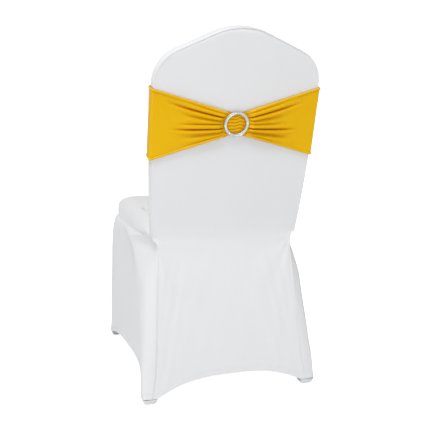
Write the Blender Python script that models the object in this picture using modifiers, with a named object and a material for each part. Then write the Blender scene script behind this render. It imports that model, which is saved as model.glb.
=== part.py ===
"""Fitted stretch cover for a crown-back banquet chair, with a gathered sash and its slider ring.

The frame: metres, +Z up, the floor at z = 0, the chair's front towards -Y and its left side towards +X,
the origin under the middle of the finished cover. Dimensions in the tables below are laid out from the
seat's own zero, and the finished parts are shifted by CENTRE_Y at the end.
The cover is one stretched skin. It is lofted as patches that share their seam points, cut into the
panels a maker sews, and given the cloth's thickness inwards. The chair itself is not part of the model.
"""

import math

import bmesh
import bpy
import numpy as np
from mathutils import Matrix, Vector

# ---------------------------------------------------------------- driving dimensions
COLLECTION_NAME = "chair_cover_with_sash"
CLOTH = 0.002  # thickness of the knitted cloth
SEAM_GAP = 0.0008  # clear space left along a seam between two panels

# The leaning back pocket. Heights "along" are measured up the leaning face from the waist.
WAIST_Z = 0.418
WAIST_Y = 0.188  # front face of the back at the waist
LEAN = math.radians(13.6)
BACK_THICK = 0.028
BACK_ALONG = 0.530  # waist to crown peak
BACK_HALF_WAIST = 0.1935
BACK_HALF_TOP = 0.2055
WIDEST_ALONG = 0.300  # the sides reach their full width here
CROWN_SLOPE = math.radians(24)
CROWN_RADIUS = 0.165
SHOULDER_RADIUS = 0.087
STRIP_BULGE = 0.0012

CENTRE_Y = 0.0374  # middle of the finished cover's depth, measured from the seat's own zero

# The seat pad under the cloth.
PAD_HALF = 0.2015
PAD_FRONT_Y = -0.265
PAD_CORNER = 0.045
PAD_UNDER_Z = 0.393
SEAT_CENTRE_Z = 0.440  # where the seat meets the inside back, on the centre line
SEAT_DOME = 0.007
# Rings of the pad from its lower crease to its top: how far each lies inside the outline, and its height.
PAD_RINGS = (
    {"inset": 0.0030, "z": PAD_UNDER_Z},
    {"inset": 0.0000, "z": 0.4010},
    {"inset": 0.0010, "z": 0.4240},
    {"inset": 0.0120, "z": 0.4375},
    {"inset": 0.0360, "z": 0.4460},
)
# How much of the pad's wall is left in the columns that run into the waist, the last at the waist itself.
WALL_SHARE = (1.0, 1.0, 1.0, 1.0, 1.0, 1.0, 0.88, 0.60, 0.0)

# The skirt: level sections of its left half from the floor up. Each named point is (x, y).
SECTIONS = (
    {"z": 0.014, "front": (0.0, -0.2530), "front_seam": (0.2185, -0.2560), "leg": (0.2300, -0.2380),
     "hollow": (0.2200, 0.150), "ridge": (0.2350, 0.272), "flank": (0.2280, 0.2745),
     "rear_seam": (0.2100, 0.2765), "rear": (0.0, 0.2720)},
    {"z": 0.060, "front": (0.0, -0.2490), "front_seam": (0.2180, -0.2525), "leg": (0.2295, -0.2340),
     "hollow": (0.2140, 0.140), "ridge": (0.2335, 0.262), "flank": (0.2245, 0.2675),
     "rear_seam": (0.2010, 0.2700), "rear": (0.0, 0.2650)},
    {"z": 0.150, "front": (0.0, -0.2360), "front_seam": (0.2165, -0.2450), "leg": (0.2280, -0.2260),
     "hollow": (0.2040, 0.115), "ridge": (0.2300, 0.230), "flank": (0.2195, 0.2485),
     "rear_seam": (0.1925, 0.2560), "rear": (0.0, 0.2500)},
    {"z": 0.240, "front": (0.0, -0.2230), "front_seam": (0.2145, -0.2370), "leg": (0.2260, -0.2180),
     "hollow": (0.1975, 0.080), "ridge": (0.2255, 0.188), "flank": (0.2145, 0.2260),
     "rear_seam": (0.1870, 0.2420), "rear": (0.0, 0.2360)},
    {"z": 0.300, "front": (0.0, -0.2190), "front_seam": (0.2130, -0.2320), "leg": (0.2245, -0.2120),
     "hollow": (0.1965, 0.052), "ridge": (0.2225, 0.150), "flank": (0.2115, 0.2060),
     "rear_seam": (0.1840, 0.2335), "rear": (0.0, 0.2280)},
    {"z": 0.350, "front": (0.0, -0.2220), "front_seam": (0.2105, -0.2285), "leg": (0.2215, -0.2080),
     "hollow": (0.2000, 0.020), "ridge": (0.2200, 0.108), "flank": (0.2020, 0.1860),
     "rear_seam": (0.1810, 0.2255), "rear": (0.0, 0.2210)},
    {"z": 0.385, "front": (0.0, -0.2370), "front_seam": (0.2010, -0.2330), "leg": (0.2165, -0.2080),
     "hollow": (0.2110, -0.060), "ridge": (0.2175, 0.050), "flank": (0.1900, 0.1700),
     "rear_seam": (0.1795, 0.2200), "rear": (0.0, 0.2170)},
)
RAIL_Z = SECTIONS[-1]["z"]
SHOULDER_Z = 0.391  # top of the shoulder that the cloth forms over the leg tops
SHOULDER_SHARE = 0.40  # how far the shoulder has come from the rail line towards the pad's crease

# Free hems: height in the middle of each side, height at the feet, and half the span between the feet.
HEM_FOOT_Z = 0.0152
HEM_POWER = 2.9
FRONT_HEM = {"top": 0.066, "half_span": 0.200}
REAR_HEM = {"top": 0.0545, "half_span": 0.198}
SIDE_HEM = {"top": 0.0560, "half_span": 0.226, "centre_y": 0.014}

# Mesh counts, in intervals.
FRONT_COLUMNS = 6  # centre line to front seam
SIDE_COLUMNS = 8  # front seam to waist
STRIP_COLUMNS = 2  # across the back's thickness
SKIRT_ROWS = 7
SEAT_ROWS = 4
BACK_ROWS = 9
COLUMN_POWER = 0.7  # crowds the front columns towards the legs
FRONT_SHARE = 0.62  # share of the back's width that the front columns take
SECTION_KNOTS = {"front_seam": 0, "leg": 2, "hollow": 5, "ridge": 7, "flank": 9, "rear_seam": 10}

# Foot pockets: the closed ends of the legs.
POCKET_HEIGHT = 0.0138
POCKET_BOTTOM = 0.0155  # half width at the floor
POCKET_TOP = 0.0185  # half width at the rim
POCKET_ROUND = 0.006
FOOT_CENTRES = {
    "front_left": (0.2110, -0.2372),
    "front_right": (-0.2110, -0.2372),
    "rear_left": (0.2160, 0.2573),
    "rear_right": (-0.2160, 0.2573),
}

# The sash: a band round the back, pinched behind by the slider ring.
SASH_CLOTH = 0.0014
SASH_CLEAR = 0.0022  # space between the band and the cover
SASH_MIDDLE = 0.3030  # along the back
SASH_HALF = 0.0860  # half the band's width at the sides
SASH_FRONT_HALF = 0.0640  # half its width in the middle of the front
SASH_PINCH_HALF = 0.0270  # half its width in the middle of the ring
SASH_RING_HALF = 0.0320  # half its width where it comes out from under the ring
SASH_FRONT_COLUMNS = 7  # along half the front
SASH_REAR_X = (0.0, 0.010, 0.020, 0.033, 0.043, 0.054, 0.068, 0.086, 0.108, 0.134, 0.168)  # columns behind
SASH_TURN = 3  # intervals round each edge of the back
SASH_ROWS = 12
FOLD_COUNT = 3.0  # waves of the gathers across the band
FOLD_DEPTH = 0.0042
FOLD_REACH = 0.150  # how far from the ring the gathers reach
BUNDLE_RISE = 0.0055  # how far the gathered band stands off the back beside the ring
UNDER_RING_RISE = 0.0010  # how far it stands off under the ring's rim
RIPPLE_RISE = 0.0030  # height of the ripples that show inside the ring
RIPPLE_COUNT = 3.0

# The slider ring.
RING_OUTER = 0.0315
RING_BAND = 0.0072
RING_HALF_THICK = 0.0021
RING_CLEAR = 0.0008  # space between the ring and the band
RING_SEGMENTS = 36
RING_SIDES = 8

# Materials: base colour, roughness, metallic.
WHITE_KNIT = {"name": "white_knit", "colour": (0.86, 0.865, 0.875, 1.0), "roughness": 0.82, "metallic": 0.0}
YELLOW_KNIT = {"name": "golden_knit", "colour": (0.90, 0.47, 0.02, 1.0), "roughness": 0.55, "metallic": 0.0}
SILVER = {"name": "silver_ring", "colour": (0.72, 0.72, 0.75, 1.0), "roughness": 0.28, "metallic": 1.0}


# ---------------------------------------------------------------- scene helpers
def clear_scene():
    """Remove every object, so that the file can be run more than once."""
    for old in list(bpy.data.objects):
        bpy.data.objects.remove(old, do_unlink=True)


def new_collection(name):
    """Return an empty collection of that name, linked to the scene."""
    old = bpy.data.collections.get(name)
    if old is not None:
        bpy.data.collections.remove(old)
    made = bpy.data.collections.new(name)
    bpy.context.scene.collection.children.link(made)
    return made


def material(spec):
    """Return a Principled material from a table of its values."""
    made = bpy.data.materials.get(spec["name"]) or bpy.data.materials.new(spec["name"])
    made.use_nodes = True
    shader = made.node_tree.nodes["Principled BSDF"]
    shader.inputs["Base Color"].default_value = spec["colour"]
    shader.inputs["Roughness"].default_value = spec["roughness"]
    shader.inputs["Metallic"].default_value = spec["metallic"]
    made.diffuse_color = spec["colour"]
    return made


def new_object(name, mesh, finish, collection):
    """Put a mesh into the scene as a named sub-part with its material."""
    made = bpy.data.objects.new(name, mesh)
    mesh.materials.clear()
    mesh.materials.append(material(finish))
    collection.objects.link(made)
    return made


# ---------------------------------------------------------------- curves and surfaces
def spline(points, knots, at):
    """Evaluate a smooth curve through points at increasing knots (a cubic Hermite with chord tangents)."""
    points = np.asarray(points, float)
    knots = np.asarray(knots, float)
    steps = np.diff(knots)
    chords = np.diff(points, axis=0) / steps[:, None]
    inner = (chords[:-1] * steps[1:, None] + chords[1:] * steps[:-1, None]) / (steps[1:] + steps[:-1])[:, None]
    tangents = np.vstack([chords[:1], inner, chords[-1:]])
    i = int(np.clip(np.searchsorted(knots, at, side="right") - 1, 0, len(steps) - 1))
    t = (at - knots[i]) / steps[i]
    return (
        points[i] * (2 * t**3 - 3 * t**2 + 1)
        + points[i + 1] * (3 * t**2 - 2 * t**3)
        + tangents[i] * steps[i] * (t**3 - 2 * t**2 + t)
        + tangents[i + 1] * steps[i] * (t**3 - t**2)
    )


def plan_curve(points, knots, at):
    """Evaluate a smooth plan curve whose points may be unevenly spaced, at a place between whole knots."""
    lengths = np.linalg.norm(np.diff(np.asarray(points), axis=0), axis=1)
    stations = np.concatenate([[0], np.cumsum(np.sqrt(lengths))])
    return spline(points, stations, float(np.interp(at, knots, stations)))


def section_point(name, z):
    """Return the plan point of a named section line at height z."""
    heights = [row["z"] for row in SECTIONS]
    return spline([row[name] for row in SECTIONS], heights, z)


def skirt_side(column, z):
    """Return a point of the left side of the skirt: column 0 is the front seam and the last the rear seam."""
    names = list(SECTION_KNOTS)
    plan = plan_curve([section_point(name, z) for name in names], list(SECTION_KNOTS.values()), column)
    return np.array([plan[0], plan[1], z])


def skirt_front(share, z):
    """Return a point of the front of the skirt, at a share of the way from centre line to front seam."""
    middle = section_point("front", z)
    seam = section_point("front_seam", z)
    return np.array([seam[0] * share, middle[1] + (seam[1] - middle[1]) * share**2.4, z])


def skirt_rear(share, z):
    """Return a point of the rear of the skirt, at a share of the way from centre line to rear seam."""
    middle = section_point("rear", z)
    seam = section_point("rear_seam", z)
    return np.array([seam[0] * share, middle[1] + (seam[1] - middle[1]) * share**2.4, z])


def hem_height(hem, reach):
    """Return the hem's height at a distance from the middle of its side."""
    share = min(1.0, abs(reach) / hem["half_span"])
    return hem["top"] - (hem["top"] - HEM_FOOT_Z) * share**HEM_POWER


def on_back(x, along, depth):
    """Return a point of the leaning back pocket: depth runs from its front face to its rear."""
    y = WAIST_Y + along * math.sin(LEAN) + depth * math.cos(LEAN)
    z = WAIST_Z + along * math.cos(LEAN) - depth * math.sin(LEAN)
    return np.array([x, y, z])


def back_half_width(along):
    """Return the half width of the back below its shoulders."""
    share = min(1.0, max(0.0, along / WIDEST_ALONG))
    return BACK_HALF_WAIST + (BACK_HALF_TOP - BACK_HALF_WAIST) * share * (2 - share)


def crown_outline():
    """Return the crown's left half as (x, along) points from the shoulder's foot to the peak."""
    turn = math.pi / 2 - CROWN_SLOPE
    crown_end_x = CROWN_RADIUS * math.sin(CROWN_SLOPE)
    crown_end = BACK_ALONG - CROWN_RADIUS * (1 - math.cos(CROWN_SLOPE))
    corner = crown_end - math.tan(CROWN_SLOPE) * (BACK_HALF_TOP - crown_end_x)
    shoulder_foot = corner - SHOULDER_RADIUS * math.tan(turn / 2)
    centre_x = BACK_HALF_TOP - SHOULDER_RADIUS
    shoulder = [
        (centre_x + SHOULDER_RADIUS * math.cos(a), shoulder_foot + SHOULDER_RADIUS * math.sin(a))
        for a in np.linspace(0, turn, 25)
    ]
    crown = [
        (CROWN_RADIUS * math.sin(a), BACK_ALONG - CROWN_RADIUS * (1 - math.cos(a)))
        for a in np.linspace(CROWN_SLOPE, 0, 13)
    ]
    return np.array(shoulder + crown)


def along_line(points, shares):
    """Return the points at the given shares of a polyline's length."""
    points = np.asarray(points, float)
    lengths = np.concatenate([[0], np.cumsum(np.linalg.norm(np.diff(points, axis=0), axis=1))])
    wanted = np.asarray(shares) * lengths[-1]
    return np.stack([np.interp(wanted, lengths, points[:, k]) for k in range(points.shape[1])], axis=1)


def back_edges():
    """Return the back's side edge, waist to shoulder, and its top edge, centre to shoulder, as (x, along)."""
    crown = crown_outline()
    corner = len(crown) // 3  # a point about half way round the shoulder
    straight = [(back_half_width(a), a) for a in np.linspace(0, crown[0][1], 12)[:-1]]
    side = np.vstack([straight, crown[: corner + 1]])
    top = crown[corner:][::-1]
    return side, top


def width_shares():
    """Return where the skin's columns stand across the back: 0 is the centre line and 1 the side edge."""
    inner = np.linspace(0, FRONT_SHARE, FRONT_COLUMNS + 1)
    outer = np.linspace(FRONT_SHARE, 1, SIDE_COLUMNS + 1)[1:]
    return np.concatenate([inner, outer])


def back_grid(bottom, depth):
    """Fill one face of the back between a bottom row of points, the side edge and the crown.

    The rows are blended from the four edges, which all share their end points.
    """
    side, top = back_edges()
    rows = np.linspace(0, 1, BACK_ROWS + 1)
    shares = width_shares()
    side_points = np.array([on_back(x, a, depth) for x, a in along_line(side, rows)])
    top_points = np.array([on_back(x, a, depth) for x, a in along_line(top, shares)])
    centre_points = np.array([bottom[0] + (top_points[0] - bottom[0]) * r for r in rows])
    side_points = side_points + np.outer(1 - rows, bottom[-1] - side_points[0])
    grid = []
    for i, r in enumerate(rows):
        line = []
        for j, s in enumerate(shares):
            ruled_up = bottom[j] * (1 - r) + top_points[j] * r
            ruled_across = centre_points[i] * (1 - s) + side_points[i] * s
            corners = (
                bottom[0] * (1 - r) * (1 - s)
                + bottom[-1] * (1 - r) * s
                + top_points[0] * r * (1 - s)
                + top_points[-1] * r * s
            )
            line.append(ruled_up + ruled_across - corners)
        grid.append(line)
    return np.array(grid)


# ---------------------------------------------------------------- the pad
def pad_outline(column):
    """Return a plan point of the pad's outline and its inward direction.

    Columns from -FRONT_COLUMNS to 0 run from the centre line to the middle of the front corner, and
    those up to SIDE_COLUMNS run on round the corner and back to the waist.
    """
    centre = np.array([PAD_HALF - PAD_CORNER, PAD_FRONT_Y + PAD_CORNER])
    if column < -2:
        share = (column + FRONT_COLUMNS) / (FRONT_COLUMNS - 2)
        return np.array([centre[0] * share**COLUMN_POWER, PAD_FRONT_Y]), np.array([0.0, 1.0])
    if column <= 2:
        angle = math.radians(22.5) * (column - 2)
        out = np.array([math.cos(angle), math.sin(angle)])
        return centre + PAD_CORNER * out, -out
    share = (column - 2) / (SIDE_COLUMNS - 2)
    y = centre[1] + (WAIST_Y - centre[1]) * share
    x = PAD_HALF + (BACK_HALF_WAIST - PAD_HALF) * share**2.5
    return np.array([x, y]), np.array([-1.0, 0.0])


def wall_share(column):
    """Return how much of the pad's wall stands at a column."""
    return WALL_SHARE[max(0, column)]


def pad_ring(ring, column):
    """Return the point of a pad ring at a column; every ring ends in the waist point."""
    plan, inward = pad_outline(column)
    share = wall_share(column)
    plan = plan + inward * ring["inset"] * share
    return np.array([plan[0], plan[1], WAIST_Z + (ring["z"] - WAIST_Z) * share])


def seat_line(share):
    """Return a point of the line where the seat meets the inside back."""
    x = BACK_HALF_WAIST * share
    z = SEAT_CENTRE_Z + (WAIST_Z - SEAT_CENTRE_Z) * share**2.5
    return on_back(x, (z - WAIST_Z) / math.cos(LEAN), 0.0)


def seat_point(column, share, row):
    """Return a point of the seat's top, row 0 on the pad's last ring and row 1 at the back."""
    start = pad_ring(PAD_RINGS[-1], column)
    end = seat_line(share)
    point = start + (end - start) * row
    point[2] += SEAT_DOME * math.sin(math.pi * row) * wall_share(column)
    return point


# ---------------------------------------------------------------- the skin and its panels
def half_patches():
    """Return the left half of the skin as (panel, grid) pairs whose shared edges have the same points."""
    shares = width_shares()
    columns = list(range(-FRONT_COLUMNS, SIDE_COLUMNS + 1))
    front_columns = columns[: FRONT_COLUMNS + 1]
    rows = np.linspace(0, 1, SKIRT_ROWS + 1)

    # Front of the skirt, up to the crease under the pad.
    front = []
    for column in front_columns:
        share = (1 + column / FRONT_COLUMNS) ** COLUMN_POWER
        low = hem_height(FRONT_HEM, section_point("front_seam", HEM_FOOT_Z)[0] * share)
        line = [skirt_front(share, low + (RAIL_Z - low) * row) for row in rows]
        crease = pad_ring(PAD_RINGS[0], column)
        line.append(shoulder(line[-1], crease))
        line.append(crease)
        front.append(line)

    # Side of the skirt, up to the crease beside the pad and, at the waist, to the edge strip.
    side = []
    for column in range(SIDE_COLUMNS + STRIP_COLUMNS + 1):
        low = hem_height(SIDE_HEM, skirt_side(column, 0.04)[1] - SIDE_HEM["centre_y"])
        line = [skirt_side(column, low + (RAIL_Z - low) * row) for row in rows]
        if column <= SIDE_COLUMNS:
            crease = pad_ring(PAD_RINGS[0], column)
        else:
            crease = strip_point(BACK_HALF_WAIST, 0.0, (column - SIDE_COLUMNS) / STRIP_COLUMNS, (1.0, 0.0))
        line.append(shoulder(line[-1], crease))
        line.append(crease)
        side.append(line)

    # Rear of the skirt, whose last column is the side's last one.
    rear = []
    for share in shares:
        low = hem_height(REAR_HEM, section_point("rear_seam", HEM_FOOT_Z)[0] * share)
        line = [skirt_rear(share, low + (RAIL_Z - low) * row) for row in rows]
        crease = strip_point(BACK_HALF_WAIST, 0.0, 1.0, (1.0, 0.0)) * np.array([share, 1, 1])
        line.append(shoulder(line[-1], crease))
        line.append(crease)
        rear.append(line)
    rear[-1] = side[-1]

    # Pad wall and seat top.
    seat = []
    for column, share in zip(columns, shares):
        line = [pad_ring(ring, column) for ring in PAD_RINGS]
        line += [seat_point(column, share, row) for row in np.linspace(0, 1, SEAT_ROWS + 1)[1:]]
        seat.append(line)

    inside_back = back_grid(np.array([line[-1] for line in seat]), 0.0)
    outside_back = back_grid(np.array([line[-1] for line in rear]), BACK_THICK)
    return [
        ("front_panel", np.array(front)),
        ("side_panel_left", np.array(side)),
        ("back_panel", np.array(rear)),
        ("front_panel", np.array(seat)),
        ("front_panel", np.transpose(inside_back, (1, 0, 2))),
        ("back_panel", np.transpose(outside_back, (1, 0, 2))),
        ("edge_strip", edge_strip(inside_back, outside_back)),
    ]


def shoulder(rail, crease):
    """Return the point between the rail line and the crease where the cloth turns over the leg tops."""
    point = rail + (crease - rail) * SHOULDER_SHARE
    lift = (SHOULDER_Z - RAIL_Z) / (PAD_UNDER_Z - RAIL_Z)
    point[2] = rail[2] + (crease[2] - rail[2]) * lift
    return point


def strip_point(x, along, share, outward):
    """Return a point of the strip round the back's edge, at a share of the way from front to rear."""
    point = on_back(x, along, BACK_THICK * share)
    swell = STRIP_BULGE * math.sin(math.pi * share)
    up = np.array([0.0, math.sin(LEAN), math.cos(LEAN)])
    return point + swell * (np.array([1.0, 0.0, 0.0]) * outward[0] + up * outward[1])


def edge_strip(inside_back, outside_back):
    """Join the outer edges of the two faces of the back with a strip that swells a little."""
    inner = list(inside_back[:, -1]) + list(inside_back[-1, :-1][::-1])
    outer = list(outside_back[:, -1]) + list(outside_back[-1, :-1][::-1])
    lines = []
    for i, (a, b) in enumerate(zip(inner, outer)):
        before = inner[max(0, i - 1)]
        after = inner[i + 1] if i + 1 < len(inner) else before * np.array([-1, 1, 1])
        outward = np.cross(after - before, b - a)
        outward = outward / -np.linalg.norm(outward) if i else np.array([1.0, 0.0, 0.0])
        lines.append([a + (b - a) * s + outward * STRIP_BULGE * math.sin(math.pi * s)
                      for s in np.linspace(0, 1, STRIP_COLUMNS + 1)])
    return np.array(lines)


def draw_back(directions):
    """Return the step that moves a corner one unit away from each of the seams it lies on."""
    if not directions:
        return np.zeros(3)
    mean = sum(directions) / len(directions)
    return mean / max(0.5, float(mean @ mean))


class Skin:
    """The whole stretched surface as faces that share their points, each face marked with its panel."""

    def __init__(self):
        self.index = {}
        self.points = []
        self.faces = []
        self.panels = []

    def vertex(self, point):
        """Return the index of a point, adding it when it is new."""
        key = tuple(int(round(value * 1e5)) for value in point)
        if key not in self.index:
            self.index[key] = len(self.points)
            self.points.append(np.array(point, float))
        return self.index[key]

    def add(self, panel, grid, flip):
        """Add a grid's cells, each as two triangles; a cell that ends in a point gives one."""
        for a, b in zip(grid[:-1], grid[1:]):
            for k in range(len(a) - 1):
                corners = [self.vertex(p) for p in (a[k], b[k], b[k + 1], a[k + 1])]
                for face in ((corners[0], corners[1], corners[2]), (corners[0], corners[2], corners[3])):
                    if len(set(face)) == 3:
                        self.faces.append(face[::-1] if flip else face)
                        self.panels.append(panel)

    def offsets(self):
        """Return, for every point, the inward step that gives the cloth an even thickness."""
        points = np.array(self.points)
        faces = np.array(self.faces)
        corners = points[faces]
        normals = np.cross(corners[:, 1] - corners[:, 0], corners[:, 2] - corners[:, 0])
        lengths = np.linalg.norm(normals, axis=1, keepdims=True)
        units = normals / np.maximum(lengths, 1e-12)
        total = np.zeros_like(points)
        for k in range(3):
            edge_a = corners[:, (k + 1) % 3] - corners[:, k]
            edge_b = corners[:, (k + 2) % 3] - corners[:, k]
            cosine = (edge_a * edge_b).sum(1) / (np.linalg.norm(edge_a, axis=1) * np.linalg.norm(edge_b, axis=1))
            angle = np.arccos(np.clip(cosine, -1, 1))
            np.add.at(total, faces[:, k], units * angle[:, None])
        total /= np.linalg.norm(total, axis=1, keepdims=True)
        least = np.ones(len(points))
        for k in range(3):
            np.minimum.at(least, faces[:, k], (total[faces[:, k]] * units).sum(1))
        return -CLOTH * total / np.maximum(least, 0.6)[:, None]

    def inwards(self, face, a, b):
        """Return the direction in a face's plane that leads away from its edge from a to b."""
        p, q, r = (self.points[i] for i in face)
        normal = np.cross(q - p, r - p)
        away = np.cross(normal, self.points[b] - self.points[a])
        return away / np.linalg.norm(away)

    def panel_mesh(self, panel, offsets):
        """Return one panel as a closed sheet, drawn back a little from the seams it shares."""
        own = [face for face, name in zip(self.faces, self.panels) if name == panel]
        others = {i for face, name in zip(self.faces, self.panels) if name != panel for i in face}
        used = sorted({i for face in own for i in face})
        edges = {(face[k], face[(k + 1) % 3]): face for face in own for k in range(3)}
        border = [pair for pair in edges if pair[::-1] not in edges]
        pulls = {i: [] for i in used}
        for a, b in border:
            if a in others and b in others:
                inwards = self.inwards(edges[(a, b)], a, b)
                pulls[a].append(inwards)
                pulls[b].append(inwards)
        outer = {i: self.points[i] + SEAM_GAP / 2 * draw_back(pulls[i]) for i in used}
        inner = {i: outer[i] + offsets[i] for i in used}
        mesh = bmesh.new()
        top = {i: mesh.verts.new(outer[i]) for i in used}
        under = {i: mesh.verts.new(inner[i]) for i in used}
        for a, b, c in own:
            mesh.faces.new((top[a], top[b], top[c]))
            mesh.faces.new((under[c], under[b], under[a]))
        for a, b in border:
            if a < b:
                mesh.faces.new((top[b], top[a], under[b]))
                mesh.faces.new((top[a], under[a], under[b]))
            else:
                mesh.faces.new((top[b], top[a], under[a]))
                mesh.faces.new((top[b], under[a], under[b]))
        made = bpy.data.meshes.new(panel)
        mesh.to_mesh(made)
        mesh.free()
        return made


def build_cover(collection):
    """Loft the skin, mirror it, and make each panel a sheet of its own."""
    skin = Skin()
    for panel, grid in half_patches():
        turn = panel in ("back_panel", "edge_strip")
        skin.add(panel, grid, turn)
        skin.add(panel.replace("left", "right"), grid * np.array([-1, 1, 1]), not turn)
    offsets = skin.offsets()
    for panel in dict.fromkeys(skin.panels):
        made = new_object(panel, skin.panel_mesh(panel, offsets), WHITE_KNIT, collection)
        made.data.shade_smooth()
        made.data.set_sharp_from_angle(angle=math.radians(40))


# ---------------------------------------------------------------- foot pockets
def build_pocket(name, centre, collection):
    """Make the closed end of one leg: a tapered cup with rounded corners, open at the top."""
    mesh = bmesh.new()
    bmesh.ops.create_cube(mesh, size=2.0)
    for corner in mesh.verts:
        half = POCKET_TOP if corner.co.z > 0 else POCKET_BOTTOM
        corner.co.x *= half
        corner.co.y *= half
        corner.co.z = POCKET_HEIGHT if corner.co.z > 0 else 0.0
    lid = max(mesh.faces, key=lambda face: face.calc_center_median().z)
    bmesh.ops.delete(mesh, geom=[lid], context="FACES_ONLY")
    upright = [edge for edge in mesh.edges if abs(edge.verts[0].co.z - edge.verts[1].co.z) > POCKET_HEIGHT / 2]
    bmesh.ops.bevel(mesh, geom=upright, offset=POCKET_ROUND, segments=3, profile=0.5, affect="EDGES")
    bmesh.ops.recalc_face_normals(mesh, faces=mesh.faces)
    data = bpy.data.meshes.new(name)
    mesh.to_mesh(data)
    mesh.free()
    made = new_object(name, data, WHITE_KNIT, collection)
    made.location = (centre[0], centre[1], 0.0)
    thicken = made.modifiers.new("cloth", "SOLIDIFY")
    thicken.thickness = CLOTH
    thicken.offset = -1.0
    thicken.use_even_offset = True
    return made


# ---------------------------------------------------------------- the sash and its ring
def sash_path():
    """Return the left half of the band's path as (x, depth, share, side), front middle to rear middle.

    The share is 0 in the middle of a face and 1 at its end; side is -1 in front, +1 behind and 0 on
    the turns between them.
    """
    flat = BACK_HALF_TOP + STRIP_BULGE
    front = [(flat * s, -SASH_CLEAR, s, -1) for s in np.linspace(0, 1, SASH_FRONT_COLUMNS + 1)]
    angles = [math.radians(90) * k / SASH_TURN for k in range(1, SASH_TURN + 1)]
    turn = [(flat + SASH_CLEAR * math.sin(a), -SASH_CLEAR * math.cos(a), 1.0, 0) for a in angles]
    turn += [(x, BACK_THICK - depth, s, side) for x, depth, s, side in turn[::-1]]
    rear = [(x, BACK_THICK + SASH_CLEAR, x / flat, 1) for x in (flat, *SASH_REAR_X[::-1])]
    return front + turn + rear


def sash_half_height(share, side):
    """Return half the band's width at a place on its path."""
    if side < 0:
        return SASH_FRONT_HALF + (SASH_HALF - SASH_FRONT_HALF) * share**3
    if side == 0:
        return SASH_HALF
    start = RING_OUTER / BACK_HALF_TOP
    if share < start:
        return SASH_PINCH_HALF + (SASH_RING_HALF - SASH_PINCH_HALF) * share / start
    return SASH_RING_HALF + (SASH_HALF - SASH_RING_HALF) * (share - start) / (1 - start)


def gather(across, tall, x):
    """Return how far the gathered band stands off the back: least under the ring's rim, most beside it."""
    near = max(0.0, 1 - abs(x) / FOLD_REACH)
    from_centre = math.hypot(x, across * tall)
    beside = min(1.0, max(0.0, (from_centre - RING_OUTER - RING_CLEAR) / (RING_OUTER / 2)))
    inside = max(0.0, 1 - (from_centre / (RING_OUTER - RING_BAND * 1.7)) ** 2)
    fold = (1 + math.cos(FOLD_COUNT * 2 * math.pi * across)) / 2
    ripple = (1 + math.cos(RIPPLE_COUNT * 2 * math.pi * across)) / 2
    return (
        UNDER_RING_RISE * near**2
        + beside * (BUNDLE_RISE * near**2 + FOLD_DEPTH * near**1.5 * fold)
        + inside * RIPPLE_RISE * (1 + ripple) / 2
    )


def sash_grid():
    """Return the band's inner surface as a closed loop of columns."""
    half = sash_path()
    loop = half + [(-x, d, s, side) for x, d, s, side in half[1:-1][::-1]]
    grid = []
    for x, depth, share, side in loop:
        tall = sash_half_height(share, side)
        line = []
        for across in np.linspace(-1, 1, SASH_ROWS + 1):
            lift = gather(across, tall, x) if side > 0 else 0.0
            line.append(on_back(x, SASH_MIDDLE + tall * across, depth + lift))
        grid.append(line)
    return grid


def build_sash(collection):
    """Loft the band and thicken it outwards."""
    grid = sash_grid()
    mesh = bmesh.new()
    rings = [[mesh.verts.new(point) for point in line] for line in grid]
    for k, line in enumerate(rings):
        following = rings[(k + 1) % len(rings)]
        for a, b, c, d in zip(line[:-1], following[:-1], following[1:], line[1:]):
            mesh.faces.new((a, b, c, d))
    data = bpy.data.meshes.new("sash_band")
    mesh.to_mesh(data)
    mesh.free()
    data.shade_smooth()
    made = new_object("sash_band", data, YELLOW_KNIT, collection)
    thicken = made.modifiers.new("cloth", "SOLIDIFY")
    thicken.thickness = SASH_CLOTH
    thicken.offset = 1.0
    thicken.use_even_offset = True
    return made


def build_ring(collection):
    """Make the slider: a flattened ring that lies on the gathered band behind the back."""
    bpy.ops.mesh.primitive_torus_add(
        major_radius=RING_OUTER - RING_BAND / 2,
        minor_radius=RING_BAND / 2,
        major_segments=RING_SEGMENTS,
        minor_segments=RING_SIDES,
    )
    made = bpy.context.active_object
    made.name = "slider_ring"
    made.data.transform(Matrix.Diagonal((1, 1, 2 * RING_HALF_THICK / RING_BAND, 1)))
    made.data.materials.append(material(SILVER))
    made.data.shade_smooth()
    for old in list(made.users_collection):
        old.objects.unlink(made)
    collection.objects.link(made)
    depth = BACK_THICK + SASH_CLEAR + UNDER_RING_RISE + SASH_CLOTH + RING_CLEAR + RING_HALF_THICK
    place = Vector(on_back(0.0, SASH_MIDDLE, depth))
    made.matrix_world = Matrix.Translation(place) @ Matrix.Rotation(-(math.pi / 2 + LEAN), 4, "X")
    return made


def centre_in_plan(collection):
    """Shift every sub-part so that the bottom of the cover's bounding box is centred on the origin."""
    for made in collection.objects:
        made.matrix_world = Matrix.Translation((0.0, -CENTRE_Y, 0.0)) @ made.matrix_world


def main():
    """Build every sub-part."""
    clear_scene()
    collection = new_collection(COLLECTION_NAME)
    build_cover(collection)
    for corner, centre in FOOT_CENTRES.items():
        build_pocket("foot_pocket_" + corner, centre, collection)
    build_sash(collection)
    build_ring(collection)
    centre_in_plan(collection)


main()
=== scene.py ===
"""White stretch cover for a crown-back banquet chair, with a golden sash gathered through a silver ring.

Units are metres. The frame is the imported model's: +Z up, the floor at z = 0, the chair's front towards -Y
and its left side towards +X, the origin on the floor under the middle of the cover.
"""

import logging
import math
from dataclasses import dataclass, field
from enum import Enum
from typing import Callable, Optional, Sequence

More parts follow.
